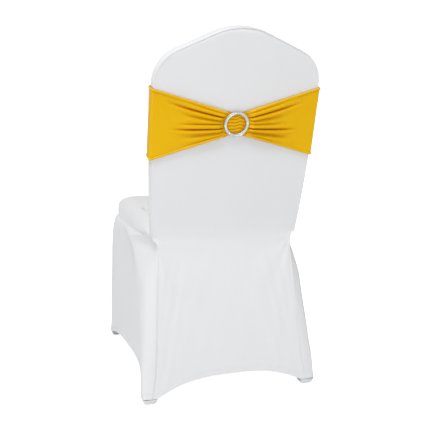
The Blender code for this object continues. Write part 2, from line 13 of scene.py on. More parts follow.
import bpy
import numpy as np
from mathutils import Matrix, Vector


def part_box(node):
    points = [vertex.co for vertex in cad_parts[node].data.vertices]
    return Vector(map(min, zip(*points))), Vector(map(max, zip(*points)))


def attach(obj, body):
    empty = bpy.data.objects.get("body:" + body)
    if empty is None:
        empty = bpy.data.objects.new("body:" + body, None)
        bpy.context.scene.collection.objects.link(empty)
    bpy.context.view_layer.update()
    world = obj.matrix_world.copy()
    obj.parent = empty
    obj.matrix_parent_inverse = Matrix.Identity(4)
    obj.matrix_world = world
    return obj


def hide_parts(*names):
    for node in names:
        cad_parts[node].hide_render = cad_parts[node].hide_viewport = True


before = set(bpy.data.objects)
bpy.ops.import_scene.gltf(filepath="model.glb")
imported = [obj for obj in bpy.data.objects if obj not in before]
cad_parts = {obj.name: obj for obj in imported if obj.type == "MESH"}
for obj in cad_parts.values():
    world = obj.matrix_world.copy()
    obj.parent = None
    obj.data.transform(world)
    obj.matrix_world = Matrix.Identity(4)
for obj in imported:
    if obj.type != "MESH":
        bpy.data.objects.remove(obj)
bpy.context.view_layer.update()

BODY = "root"
CENTRE_Y = 0.0374  # the cover is laid out from the seat's own zero, this far in front of the frame's origin

LOG = logging.getLogger("chair_cover")


class Side(Enum):
    """The two halves of the cover, by the sign of their X."""

    LEFT = 1
    RIGHT = -1


class Panel(Enum):
    """The sewn panels of the cover, each with the CAD node it stands for."""

    FRONT = "front_panel"
    BACK = "back_panel"
    SIDE_LEFT = "side_panel_left"
    SIDE_RIGHT = "side_panel_right"
    EDGE = "edge_strip"


# ---------------------------------------------------------------- small mathematics
def smooth(t: np.ndarray) -> np.ndarray:
    """Return a smooth step from 0 to 1 as t runs from 0 to 1."""
    t = np.clip(t, 0.0, 1.0)
    return t * t * (3 - 2 * t)


def spline(points: np.ndarray, knots: Sequence[float], at: float) -> np.ndarray:
    """Evaluate a smooth curve through points at increasing knots.

    Args:
        points: one row for each point.
        knots: the parameter of each point.
        at: where to evaluate the curve.

    Returns:
        The point on the curve.
    """
    points = np.asarray(points, float)
    knots = np.asarray(knots, float)
    steps = np.diff(knots)
    chords = np.diff(points, axis=0) / steps[:, None]
    inner = (chords[:-1] * steps[1:, None] + chords[1:] * steps[:-1, None]) / (steps[1:] + steps[:-1])[:, None]
    tangents = np.vstack([chords[:1], inner, chords[-1:]])
    i = int(np.clip(np.searchsorted(knots, at, side="right") - 1, 0, len(steps) - 1))
    t = (at - knots[i]) / steps[i]
    return (
        points[i] * (2 * t**3 - 3 * t**2 + 1)
        + points[i + 1] * (3 * t**2 - 2 * t**3)
        + tangents[i] * steps[i] * (t**3 - 2 * t**2 + t)
        + tangents[i + 1] * steps[i] * (t**3 - t**2)
    )


def along_line(points: np.ndarray, shares: Sequence[float]) -> np.ndarray:
    """Return the points at the given shares of a polyline's length.

    Args:
        points: the polyline.
        shares: places on it, from 0 to 1.

    Returns:
        One row for each share.
    """
    points = np.asarray(points, float)
    lengths = np.concatenate([[0], np.cumsum(np.linalg.norm(np.diff(points, axis=0), axis=1))])
    wanted = np.asarray(shares) * lengths[-1]
    return np.stack([np.interp(wanted, lengths, points[:, k]) for k in range(points.shape[1])], axis=1)


def line_length(points: np.ndarray) -> float:
    """Return a polyline's length."""
    return float(np.linalg.norm(np.diff(points, axis=0), axis=1).sum())


def grid_normals(grid: np.ndarray) -> np.ndarray:
    """Return the unit normals of a grid of points, by the right-hand rule of its two directions."""
    du = np.gradient(grid, axis=0)
    dv = np.gradient(grid, axis=1)
    normals = np.cross(du, dv)
    lengths = np.linalg.norm(normals, axis=2, keepdims=True)
    return normals / np.maximum(lengths, 1e-12)


# ---------------------------------------------------------------- shader building
class ShaderTree:
    """A node tree with short calls for adding and joining nodes."""

    def __init__(self, tree: bpy.types.NodeTree) -> None:
        """Wrap a node tree."""
        self.tree = tree

    def node(self, kind: str, **values: object) -> bpy.types.Node:
        """Add a node.

        Args:
            kind: the node's type.
            values: properties of the node, or values of its inputs by name with spaces as underscores.

        Returns:
            The node.
        """
        made = self.tree.nodes.new(kind)
        for name, value in values.items():
            if hasattr(made, name):
                setattr(made, name, value)
            else:
                made.inputs[name.replace("_", " ")].default_value = value
        return made

    def join(self, start: bpy.types.NodeSocket, end: bpy.types.NodeSocket) -> None:
        """Link an output to an input."""
        self.tree.links.new(start, end)

    def maths(self, operation: str, first: object, second: object = None) -> bpy.types.NodeSocket:
        """Add a Math node.

        Args:
            operation: what it does.
            first: its first input, a socket or a number.
            second: its second input, if it has one.

        Returns:
            Its output.
        """
        made = self.tree.nodes.new("ShaderNodeMath")
        made.operation = operation
        for place, value in enumerate((first, second)):
            if isinstance(value, bpy.types.NodeSocket):
                self.join(value, made.inputs[place])
            elif value is not None:
                made.inputs[place].default_value = value
        return made.outputs[0]


class KnitGroups:
    """The shader groups that the cloths and threads share, each built once."""

    _made: dict[str, bpy.types.NodeTree] = {}

    @classmethod
    def _start(cls, name: str, inputs: dict[str, float], outputs: Sequence[str]) -> ShaderTree:
        """Make an empty group with float sockets.

        Args:
            name: the group's name.
            inputs: the name and default value of each input.
            outputs: the names of the outputs.

        Returns:
            The group's tree.
        """
        tree = bpy.data.node_groups.new(name, "ShaderNodeTree")
        for title, value in inputs.items():
            socket = tree.interface.new_socket(name=title, in_out="INPUT", socket_type="NodeSocketFloat")
            socket.default_value = value
        for title in outputs:
            tree.interface.new_socket(name=title, in_out="OUTPUT", socket_type="NodeSocketFloat")
        cls._made[name] = tree
        return ShaderTree(tree)

    @classmethod
    def knit(cls) -> bpy.types.NodeTree:
        """Return the group that gives the loops of a fine warp knit, as a height and a mask of the gaps."""
        name = "warp_knit"
        if name in cls._made:
            return cls._made[name]
        build = cls._start(name, {"Pitch Scale": 260.0, "Unevenness": 0.4}, ("Height", "Gap"))
        given = build.node("NodeGroupInput")
        result = build.node("NodeGroupOutput")
        place = build.node("ShaderNodeTexCoord")
        turned = build.node("ShaderNodeMapping")
        turned.inputs["Rotation"].default_value = (0.0, 0.0, math.radians(45))
        build.join(place.outputs["Object"], turned.inputs["Vector"])
        waves = []
        for direction in ("X", "Z"):
            wave = build.node("ShaderNodeTexWave", wave_type="BANDS", bands_direction=direction)
            wave.inputs["Distortion"].default_value = 0.6
            wave.inputs["Detail"].default_value = 1.0
            build.join(turned.outputs["Vector"], wave.inputs["Vector"])
            build.join(given.outputs["Pitch Scale"], wave.inputs["Scale"])
            waves.append(wave.outputs["Fac"])
        loops = build.maths("MULTIPLY", waves[0], build.maths("ADD", build.maths("MULTIPLY", waves[1], 0.6), 0.4))
        noise = build.node("ShaderNodeTexNoise", Detail=3.0)
        build.join(turned.outputs["Vector"], noise.inputs["Vector"])
        build.join(build.maths("MULTIPLY", given.outputs["Pitch Scale"], 0.35), noise.inputs["Scale"])
        rough = build.maths("MULTIPLY", noise.outputs["Fac"], given.outputs["Unevenness"])
        build.join(build.maths("ADD", loops, rough), result.inputs["Height"])
        build.join(build.maths("SUBTRACT", 1.0, loops), result.inputs["Gap"])
        return cls._made[name]

    @classmethod
    def tension(cls) -> bpy.types.NodeTree:
        """Return the group that gives the broad, uneven pull of stretched cloth, as a height and a tone."""
        name = "stretch_tension"
        if name in cls._made:
            return cls._made[name]
        build = cls._start(name, {"Broad Scale": 5.0, "Streak Scale": 30.0}, ("Height", "Tone"))
        given = build.node("NodeGroupInput")
        result = build.node("NodeGroupOutput")
        place = build.node("ShaderNodeTexCoord")
        broad = build.node("ShaderNodeTexNoise", Detail=2.0, Roughness=0.45)
        build.join(place.outputs["Object"], broad.inputs["Vector"])
        build.join(given.outputs["Broad Scale"], broad.inputs["Scale"])
        drawn = build.node("ShaderNodeMapping")
        drawn.inputs["Scale"].default_value = (1.0, 1.0, 0.12)
        build.join(place.outputs["Object"], drawn.inputs["Vector"])
        streak = build.node("ShaderNodeTexNoise", Detail=2.0, Roughness=0.5)
        build.join(drawn.outputs["Vector"], streak.inputs["Vector"])
        build.join(given.outputs["Streak Scale"], streak.inputs["Scale"])
        mixed = build.maths("ADD", broad.outputs["Fac"], build.maths("MULTIPLY", streak.outputs["Fac"], 0.35))
        build.join(mixed, result.inputs["Height"])
        build.join(build.maths("MULTIPLY", mixed, 0.74), result.inputs["Tone"])
        return cls._made[name]


def place_group(build: ShaderTree, tree: bpy.types.NodeTree, **values: float) -> bpy.types.Node:
    """Place a shader group in a material.

    Args:
        build: the material's tree.
        tree: the group.
        values: the values of its inputs, by name with spaces as underscores.

    Returns:
        The group's node.
    """
    made = build.tree.nodes.new("ShaderNodeGroup")
    made.node_tree = tree
    for name, value in values.items():
        made.inputs[name.replace("_", " ")].default_value = value
    return made


# painted shade in the sash's creases: how far each point is painted towards the fold colour, kept on the mesh's
# points
CREASE_SHADE_ATTRIBUTE = "crease_shade"


@dataclass(frozen=True)
class KnitFinish:
    """A stretch knit cloth or a thread."""

    name: str
    colour: tuple[float, float, float]
    shade: tuple[float, float, float]
    roughness: float
    sheen: float
    sheen_tint: tuple[float, float, float]
    pitch_scale: float
    knit_depth: float
    pull_depth: float
    gloss: float = 0.35
    # painted shade: a darker colour mixed in where the mesh's crease-shade attribute is set
    fold: Optional[tuple[float, float, float]] = None

    def material(self) -> bpy.types.Material:
        """Return the finish's material, built the first time it is asked for."""
        made = bpy.data.materials.get(self.name)
        if made is not None:
            return made
        made = bpy.data.materials.new(self.name)
        made.use_nodes = True
        build = ShaderTree(made.node_tree)
        shader = made.node_tree.nodes["Principled BSDF"]
        knit = place_group(build, KnitGroups.knit(), Pitch_Scale=self.pitch_scale)
        pull = place_group(build, KnitGroups.tension())
        tone = build.maths(
            "ADD",
            build.maths("MULTIPLY", knit.outputs["Gap"], 0.35),
            build.maths("MULTIPLY", pull.outputs["Tone"], 0.55),
        )
        colour = build.node("ShaderNodeMix", data_type="RGBA")
        for socket, value in ((colour.inputs[6], self.colour), (colour.inputs[7], self.shade)):
            socket.default_value = (*value, 1.0)
        build.join(tone, colour.inputs[0])
        if self.fold is None:
            build.join(colour.outputs[2], shader.inputs["Base Color"])
        else:
            # painted shade in the creases, mixed in by the crease-shade attribute
            painted_crease_shade = build.node("ShaderNodeAttribute")
            painted_crease_shade.attribute_name = CREASE_SHADE_ATTRIBUTE
            crease_shaded_colour = build.node("ShaderNodeMix", data_type="RGBA")
            crease_shaded_colour.inputs[7].default_value = (*self.fold, 1.0)
            build.join(painted_crease_shade.outputs["Fac"], crease_shaded_colour.inputs[0])
            build.join(colour.outputs[2], crease_shaded_colour.inputs[6])
            build.join(crease_shaded_colour.outputs[2], shader.inputs["Base Color"])
        rough = build.node("ShaderNodeMapRange", To_Min=self.roughness - 0.05, To_Max=self.roughness + 0.08)
        build.join(knit.outputs["Gap"], rough.inputs["Value"])
        build.join(rough.outputs["Result"], shader.inputs["Roughness"])
        shader.inputs["Sheen Weight"].default_value = self.sheen
        shader.inputs["Sheen Roughness"].default_value = 0.45
        shader.inputs["Sheen Tint"].default_value = (*self.sheen_tint, 1.0)
        shader.inputs["Specular IOR Level"].default_value = self.gloss
        broad = build.node("ShaderNodeBump", Strength=0.5, Distance=self.pull_depth)
        build.join(pull.outputs["Height"], broad.inputs["Height"])
        fine = build.node("ShaderNodeBump", Strength=0.35, Distance=self.knit_depth)
        build.join(knit.outputs["Height"], fine.inputs["Height"])
        build.join(broad.outputs["Normal"], fine.inputs["Normal"])
        build.join(fine.outputs["Normal"], shader.inputs["Normal"])
        return made


@dataclass(frozen=True)
class MetalFinish:
    """Plated metal with faint wear."""

    name: str = "plated_silver"
    colour: tuple[float, float, float] = (0.78, 0.78, 0.82)
    worn: tuple[float, float, float] = (0.68, 0.68, 0.72)
    roughness: float = 0.36

    def material(self) -> bpy.types.Material:
        """Return the metal's material."""
        made = bpy.data.materials.new(self.name)
        made.use_nodes = True
        build = ShaderTree(made.node_tree)
        shader = made.node_tree.nodes["Principled BSDF"]
        shader.inputs["Metallic"].default_value = 1.0
        place = build.node("ShaderNodeTexCoord")
        noise = build.node("ShaderNodeTexNoise", Scale=420.0, Detail=3.0)
        build.join(place.outputs["Object"], noise.inputs["Vector"])
        colour = build.node("ShaderNodeMix", data_type="RGBA")
        for socket, value in ((colour.inputs[6], self.colour), (colour.inputs[7], self.worn)):
            socket.default_value = (*value, 1.0)
        build.join(noise.outputs["Fac"], colour.inputs[0])
        build.join(colour.outputs[2], shader.inputs["Base Color"])
        rough = build.node("ShaderNodeMapRange", To_Min=self.roughness - 0.08, To_Max=self.roughness + 0.15)
        build.join(noise.outputs["Fac"], rough.inputs["Value"])
        build.join(rough.outputs["Result"], shader.inputs["Roughness"])
        bump = build.node("ShaderNodeBump", Strength=0.15, Distance=0.0002)
        build.join(noise.outputs["Fac"], bump.inputs["Height"])
        build.join(bump.outputs["Normal"], shader.inputs["Normal"])
        return made


@dataclass(frozen=True)
class StoneFinish:
    """Small clear stones on a bright foil, which differ a little in tone."""

    name: str = "clear_stone"
    bright: tuple[float, float, float] = (0.92, 0.92, 0.96)
    dim: tuple[float, float, float] = (0.70, 0.71, 0.75)
    roughness: float = 0.22

    def material(self) -> bpy.types.Material:
        """Return the stones' material."""
        made = bpy.data.materials.new(self.name)
        made.use_nodes = True
        build = ShaderTree(made.node_tree)
        shader = made.node_tree.nodes["Principled BSDF"]
        shader.inputs["Metallic"].default_value = 0.25
        shader.inputs["Roughness"].default_value = self.roughness
        shader.inputs["Coat Weight"].default_value = 1.0
        shader.inputs["Coat Roughness"].default_value = 0.03
        place = build.node("ShaderNodeTexCoord")
        cells = build.node("ShaderNodeTexVoronoi", Scale=430.0)
        build.join(place.outputs["Object"], cells.inputs["Vector"])
        level = build.node("ShaderNodeSeparateColor")
        build.join(cells.outputs["Color"], level.inputs["Color"])
        colour = build.node("ShaderNodeMix", data_type="RGBA")
        for socket, value in ((colour.inputs[6], self.bright), (colour.inputs[7], self.dim)):
            socket.default_value = (*value, 1.0)
        build.join(level.outputs["Red"], colour.inputs[0])
        build.join(colour.outputs[2], shader.inputs["Base Color"])
        return made


@dataclass(frozen=True)
class FloorFinish:
    """A plain white studio floor."""

    name: str = "studio_floor"
    colour: tuple[float, float, float] = (0.93, 0.93, 0.93)
    glow: float = 0.92

    def material(self) -> bpy.types.Material:
        """Return the floor's material."""
        made = bpy.data.materials.new(self.name)
        made.use_nodes = True
        build = ShaderTree(made.node_tree)
        shader = made.node_tree.nodes["Principled BSDF"]
        shader.inputs["Roughness"].default_value = 0.9
        shader.inputs["Specular IOR Level"].default_value = 0.1
        path = build.node("ShaderNodeLightPath")
        build.join(build.maths("MULTIPLY", path.outputs["Is Camera Ray"], self.glow), shader.inputs["Emission Strength"])
        shader.inputs["Emission Color"].default_value = (1.0, 1.0, 1.0, 1.0)
        noise = build.node("ShaderNodeTexNoise", Scale=3.0, Detail=2.0)
        colour = build.node("ShaderNodeMix", data_type="RGBA")
        lighter = tuple(min(1.0, c + 0.02) for c in self.colour)
        for socket, value in ((colour.inputs[6], self.colour), (colour.inputs[7], lighter)):
            socket.default_value = (*value, 1.0)
        build.join(noise.outputs["Fac"], colour.inputs[0])
        build.join(colour.outputs[2], shader.inputs["Base Color"])
        return made


WHITE_CLOTH = KnitFinish(
    name="white_stretch_knit",
    colour=(0.865, 0.870, 0.880),
    shade=(0.800, 0.806, 0.820),
    roughness=0.80,
    sheen=0.15,
    sheen_tint=(1.0, 1.0, 1.0),
    pitch_scale=230.0,
    knit_depth=0.00025,
    pull_depth=0.0012,
)
WHITE_THREAD = KnitFinish(
    name="white_sewing_thread",
    colour=(0.900, 0.900, 0.905),
    shade=(0.760, 0.765, 0.780),
    roughness=0.60,
    sheen=0.05,
    sheen_tint=(1.0, 1.0, 1.0),
    pitch_scale=520.0,
    knit_depth=0.00010,
    pull_depth=0.0002,
)
GOLDEN_CLOTH = KnitFinish(
    name="golden_stretch_knit",
    colour=(0.930, 0.600, 0.0015),
    shade=(0.820, 0.410, 0.0005),
    roughness=0.42,
    sheen=0.0,
    sheen_tint=(1.0, 0.85, 0.30),
    pitch_scale=260.0,
    knit_depth=0.00018,
    pull_depth=0.0006,
    gloss=0.12,
    # painted shade: the dark orange that the sash's creases are painted with
    fold=(0.40, 0.075, 0.0005),
)


# ---------------------------------------------------------------- mesh building
class MeshBuilder:
    """Gathers grids, tubes and small solids into one mesh whose shared points are joined."""

    def __init__(self) -> None:
        """Start empty."""
        self.points: list[np.ndarray] = []
        self.faces: list[tuple[int, ...]] = []
        self._index: dict[tuple[int, int, int], int] = {}

    def vertex(self, point: np.ndarray) -> int:
        """Return the index of a point, adding it when it is new."""
        key = tuple(int(round(float(value) * 2e5)) for value in point)
        if key not in self._index:
            self._index[key] = len(self.points)
            self.points.append(np.asarray(point, float))
        return self._index[key]

    def add_grid(self, grid: np.ndarray, flip: bool = False) -> None:
        """Add a grid's cells as faces, leaving out those that have no area.

        Args:
            grid: rows of points, an array of shape (n, m, 3).
            flip: whether to turn the faces over.
        """
        index = [[self.vertex(point) for point in line] for line in grid]
        for a, b in zip(index[:-1], index[1:]):
            for k in range(len(a) - 1):
                face = list(dict.fromkeys((a[k], b[k], b[k + 1], a[k + 1])))
                if len(face) >= 3:
                    self.faces.append(tuple(face[::-1] if flip else face))

    def add_solid(self, points: np.ndarray, faces: Sequence[Sequence[int]]) -> None:
        """Add a small solid whose points are not joined to others.

        Args:
            points: its points.
            faces: the indices of its faces among those points.
        """
        start = len(self.points)
        self.points.extend(np.asarray(points, float))
        self.faces.extend(tuple(start + i for i in face) for face in faces)

    def add_tube(self, line: np.ndarray, radius: float, sides: int = 6, closed: bool = False) -> None:
        """Add a round tube along a line.

        Args:
            line: the points of its middle.
            radius: its radius.
            sides: how many sides it has.
            closed: whether its end joins its start.
        """
        line = np.asarray(line, float)
        count = len(line)
        if closed:
            ahead = np.roll(line, -1, axis=0)
            behind = np.roll(line, 1, axis=0)
        else:
            ahead = np.vstack([line[1:], line[-1:]])
            behind = np.vstack([line[:1], line[:-1]])
        along = ahead - behind
        along /= np.maximum(np.linalg.norm(along, axis=1, keepdims=True), 1e-12)
        across = np.cross(along[0], (0.31, 0.17, 0.93))
        rings = []
        for k in range(count):
            across = across - along[k] * float(across @ along[k])
            across /= np.linalg.norm(across)
            third = np.cross(along[k], across)
            angles = np.arange(sides) * 2 * math.pi / sides
            rings.append(line[k] + radius * (np.outer(np.cos(angles), across) + np.outer(np.sin(angles), third)))
        points = np.vstack(rings)
        spans = range(count if closed else count - 1)
        faces = [
            (k * sides + s, k * sides + (s + 1) % sides,
             (k + 1) % count * sides + (s + 1) % sides, (k + 1) % count * sides + s)
            for k in spans
            for s in range(sides)
        ]
        if not closed:
            faces.append(tuple(range(sides))[::-1])
            faces.append(tuple((count - 1) * sides + s for s in range(sides)))
        self.add_solid(points, faces)

    def piece(self, name: str, material: bpy.types.Material, slot: str) -> bpy.types.Object:
        """Make the mesh into a piece of the model.

        Args:
            name: the piece's name.
            material: its material.
            slot: not used.

        Returns:
            The piece, riding on the model's body.
        """
        mesh = bpy.data.meshes.new(name)
        mesh.from_pydata([tuple(point) for point in self.points], [], self.faces)
        mesh.update()
        mesh.materials.append(material)
        mesh.shade_smooth()
        made = bpy.data.objects.new(name, mesh)
        bpy.context.scene.collection.objects.link(made)
        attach(made, BODY)
        LOG.info("%s: %d points, %d faces", name, len(self.points), len(self.faces))
        return made


def thicken(piece: bpy.types.Object, cloth: float, outward: bool) -> None:
    """Give a sheet its thickness.

    Args:
        piece: the sheet.
        cloth: the thickness.
        outward: whether it grows along the sheet's normals or against them.
    """
    change = piece.modifiers.new("cloth", "SOLIDIFY")
    change.thickness = cloth
    change.offset = 1.0 if outward else -1.0
    change.use_rim = True


# ---------------------------------------------------------------- the cover's form
@dataclass
class BackForm:
    """The leaning back pocket: its outline and its place."""

    waist_z: float = 0.418
    waist_y: float = 0.188
    lean: float = math.radians(13.6)
    thick: float = 0.028
    along: float = 0.530
    half_waist: float = 0.1935
    half_top: float = 0.2055
    widest_along: float = 0.300
    crown_slope: float = math.radians(24)
    crown_radius: float = 0.165
    shoulder_radius: float = 0.087
    bulge: float = 0.0012

    def at(self, x: float, along: float, depth: float) -> np.ndarray:
        """Return a point of the back: along runs up its leaning face, depth from its front to its rear."""
        y = self.waist_y + along * math.sin(self.lean) + depth * math.cos(self.lean)
        z = self.waist_z + along * math.cos(self.lean) - depth * math.sin(self.lean)
        return np.array([x, y - CENTRE_Y, z])

    def half_width(self, along: float) -> float:
        """Return the half width below the shoulders."""
        share = min(1.0, max(0.0, along / self.widest_along))
        return self.half_waist + (self.half_top - self.half_waist) * share * (2 - share)

    def edges(self) -> tuple[np.ndarray, np.ndarray]:
        """Return the side edge, waist to shoulder, and the top edge, peak to shoulder, as (x, along)."""
        turn = math.pi / 2 - self.crown_slope
        crown_end_x = self.crown_radius * math.sin(self.crown_slope)
        crown_end = self.along - self.crown_radius * (1 - math.cos(self.crown_slope))
        corner = crown_end - math.tan(self.crown_slope) * (self.half_top - crown_end_x)
        foot = corner - self.shoulder_radius * math.tan(turn / 2)
        centre_x = self.half_top - self.shoulder_radius
        shoulder = [
            (centre_x + self.shoulder_radius * math.cos(a), foot + self.shoulder_radius * math.sin(a))
            for a in np.linspace(0, turn, 97)
        ]
        crown = [
            (self.crown_radius * math.sin(a), self.along - self.crown_radius * (1 - math.cos(a)))
            for a in np.linspace(self.crown_slope, 0, 49)
        ]
        middle = 48  # half way round the shoulder
        straight = [(self.half_width(a), a) for a in np.linspace(0, foot, 40)[:-1]]
        side = np.vstack([straight, shoulder[: middle + 1]])
        top = np.vstack([shoulder[middle:], crown])[::-1]
        return side, top

    def face(self, bottom: np.ndarray, depth: float, shares: np.ndarray, rows: int) -> np.ndarray:
        """Fill one face of the back between a bottom row, the side edge and the crown.

        Args:
            bottom: the points of its lowest row, centre to side.
            depth: which face, from 0 in front.
            shares: where the columns stand, 0 on the centre line and 1 at the edge.
            rows: how many rows to make.

        Returns:
            The grid, indexed by column and then by row.
        """
        side, top = self.edges()
        steps = np.linspace(0, 1, rows + 1)
        side_points = np.array([self.at(x, a, depth) for x, a in along_line(side, steps)])
        top_points = np.array([self.at(x, a, depth) for x, a in along_line(top, shares)])
        centre = bottom[0] + np.outer(steps, top_points[0] - bottom[0])
        side_points = side_points + np.outer(1 - steps, bottom[-1] - side_points[0])
        s = shares[:, None, None]
        r = steps[None, :, None]
        ruled_up = bottom[:, None] * (1 - r) + top_points[:, None] * r
        ruled_across = centre[None] * (1 - s) + side_points[None] * s
        corners = (
            bottom[0] * (1 - r) * (1 - s)
            + bottom[-1] * (1 - r) * s
            + top_points[0] * r * (1 - s)
            + top_points[-1] * r * s
        )
        return ruled_up + ruled_across - corners


@dataclass
class PadForm:
    """The seat pad under the cloth."""

    half: float = 0.2015
    front_y: float = -0.265
    corner: float = 0.045
    under_z: float = 0.393
    centre_z: float = 0.440
    dome: float = 0.007
    insets: tuple[float, ...] = (0.0030, 0.0000, 0.0010, 0.0120, 0.0360)
    heights: tuple[float, ...] = (0.393, 0.4010, 0.4240, 0.4375, 0.4460)
    wall_columns: tuple[float, ...] = (5, 6, 7, 8)
    wall_left: tuple[float, ...] = (1.0, 0.88, 0.60, 0.0)

    def outline(self, column: float, back: BackForm) -> tuple[np.ndarray, np.ndarray]:
        """Return a plan point of the outline and its inward direction.

        Args:
            column: -6 on the centre line, 0 in the middle of the front corner, 8 at the waist.
            back: the back that the pad runs to.

        Returns:
            The point and the direction, each as (x, y).
        """
        centre = np.array([self.half - self.corner, self.front_y + self.corner])
        if column < -2:
            share = (column + 6) / 4
            return np.array([centre[0] * share**0.7, self.front_y]), np.array([0.0, 1.0])
        if column <= 2:
            angle = math.radians(22.5) * (column - 2)
            out = np.array([math.cos(angle), math.sin(angle)])
            return centre + self.corner * out, -out
        share = (column - 2) / 6
        y = centre[1] + (back.waist_y - centre[1]) * share
        x = self.half + (back.half_waist - self.half) * share**2.5
        return np.array([x, y]), np.array([-1.0, 0.0])

    def wall(self, column: float) -> float:
        """Return how much of the pad's wall stands at a column."""
        return float(np.interp(column, self.wall_columns, self.wall_left))

    def ring(self, level: float, column: float, back: BackForm) -> np.ndarray:
        """Return a point of the pad's wall.

        Args:
            level: 0 at the lower crease and 4 on the pad's top.
            column: the column, as in outline.
            back: the back that the pad runs to.

        Returns:
            The point.
        """
        profile = spline(np.array([self.insets, self.heights]).T, range(5), level)
        plan, inward = self.outline(column, back)
        share = self.wall(column)
        plan = plan + inward * max(0.0, profile[0]) * share
        return np.array([plan[0], plan[1] - CENTRE_Y, back.waist_z + (profile[1] - back.waist_z) * share])

    def seat_line(self, share: float, back: BackForm) -> np.ndarray:
        """Return a point of the line where the seat meets the inside back."""
        z = self.centre_z + (back.waist_z - self.centre_z) * share**2.5
        return back.at(back.half_waist * share, (z - back.waist_z) / math.cos(back.lean), 0.0)

    def seat(self, column: float, share: float, row: float, back: BackForm) -> np.ndarray:
        """Return a point of the seat's top, row 0 on the wall's last ring and row 1 at the back."""
        start = self.ring(4, column, back)
        point = start + (self.seat_line(share, back) - start) * row
        point[2] += self.dome * math.sin(math.pi * row) * self.wall(column)
        return point


@dataclass(frozen=True)
class Section:
    """A level section of the left half of the skirt: its height and its named plan points."""

    z: float
    front: tuple[float, float]
    front_seam: tuple[float, float]
    leg: tuple[float, float]
    hollow: tuple[float, float]
    ridge: tuple[float, float]
    flank: tuple[float, float]
    rear_seam: tuple[float, float]
    rear: tuple[float, float]


@dataclass(frozen=True)
class Hem:
    """A free hem: its height in the middle and at the feet, and the span between the feet."""

    top: float
    half_span: float
    centre: float = 0.0
    foot_z: float = 0.0152
    power: float = 2.9

    def height(self, reach: float) -> float:
        """Return the hem's height at a distance along its side."""
        share = min(1.0, abs(reach - self.centre) / self.half_span)
        return self.top - (self.top - self.foot_z) * share**self.power


SECTIONS = (
    Section(0.014, (0.0, -0.2530), (0.2185, -0.2560), (0.2300, -0.2380), (0.2200, 0.150),
            (0.2350, 0.272), (0.2280, 0.2745), (0.2100, 0.2765), (0.0, 0.2720)),
    Section(0.060, (0.0, -0.2490), (0.2180, -0.2525), (0.2295, -0.2340), (0.2140, 0.140),
            (0.2335, 0.262), (0.2245, 0.2675), (0.2010, 0.2700), (0.0, 0.2650)),
    Section(0.150, (0.0, -0.2360), (0.2165, -0.2450), (0.2280, -0.2260), (0.2040, 0.115),
            (0.2300, 0.230), (0.2195, 0.2485), (0.1925, 0.2560), (0.0, 0.2500)),
    Section(0.240, (0.0, -0.2230), (0.2145, -0.2370), (0.2260, -0.2180), (0.1975, 0.080),
            (0.2255, 0.188), (0.2145, 0.2260), (0.1870, 0.2420), (0.0, 0.2360)),
    Section(0.300, (0.0, -0.2190), (0.2130, -0.2320), (0.2245, -0.2120), (0.1965, 0.052),
            (0.2225, 0.150), (0.2115, 0.2060), (0.1840, 0.2335), (0.0, 0.2280)),
    Section(0.350, (0.0, -0.2220), (0.2105, -0.2285), (0.2215, -0.2080), (0.2000, 0.020),
            (0.2200, 0.108), (0.2020, 0.1860), (0.1810, 0.2255), (0.0, 0.2210)),
    Section(0.385, (0.0, -0.2370), (0.2010, -0.2330), (0.2165, -0.2080), (0.2110, -0.060),
            (0.2175, 0.050), (0.1900, 0.1700), (0.1795, 0.2200), (0.0, 0.2170)),
)
LINES = {"front_seam": 0, "leg": 2, "hollow": 5, "ridge": 7, "flank": 9, "rear_seam": 10}


@dataclass
class SkirtForm:
    """The skirt from its hems to the creases under the pad and at the waist."""

    rail_z: float = 0.385
    front_hem: Hem = Hem(0.066, 0.200)
    rear_hem: Hem = Hem(0.0545, 0.198)
    side_hem: Hem = Hem(0.0560, 0.226, 0.014)
    near_hem: tuple[float, ...] = (0.0, 0.0012, 0.004, 0.008, 0.0115, 0.0125, 0.0135, 0.0145, 0.0155, 0.018, 0.022)
    rows: int = 40
    turn_rows: int = 8

    def line(self, name: str, z: float) -> np.ndarray:
        """Return the plan point of a named section line at a height."""
        return spline([getattr(row, name) for row in SECTIONS], [row.z for row in SECTIONS], z)

    def side(self, column: float, z: float) -> np.ndarray:
        """Return a point of the side: column 0 is the front seam and 10 the rear seam."""
        points = np.array([self.line(name, z) for name in LINES])
        stations = np.concatenate([[0], np.cumsum(np.sqrt(np.linalg.norm(np.diff(points, axis=0), axis=1)))])
        plan = spline(points, stations, float(np.interp(column, list(LINES.values()), stations)))
        return np.array([plan[0], plan[1] - CENTRE_Y, z])

    def flat(self, middle: str, seam: str, share: float, z: float) -> np.ndarray:
        """Return a point of the front or the rear, at a share of the way from centre line to seam."""
        centre = self.line(middle, z)
        edge = self.line(seam, z)
        return np.array([edge[0] * share, centre[1] + (edge[1] - centre[1]) * share**2.4 - CENTRE_Y, z])

    def column(self, place: Callable[[float], np.ndarray], low: float, crease: np.ndarray) -> np.ndarray:
        """Return one column of the skirt.

        Args:
            place: gives the skirt's point at a height.
            low: the hem's height.
            crease: the point that the cloth turns in to at the top.

        Returns:
            The points from the hem up to the crease.
        """
        start = low + self.near_hem[-1]
        heights = [low + d for d in self.near_hem]
        heights += list(start + (self.rail_z - start) * np.linspace(0, 1, self.rows + 1)[1:])
        points = [place(z) for z in heights]
        rail = points[-1]
        for angle in np.linspace(0, math.pi / 2, self.turn_rows + 1)[1:]:
            point = rail + (crease - rail) * (1 - math.cos(angle))
            point[2] = rail[2] + (crease[2] - rail[2]) * math.sin(angle)
            points.append(point)
        return np.array(points)


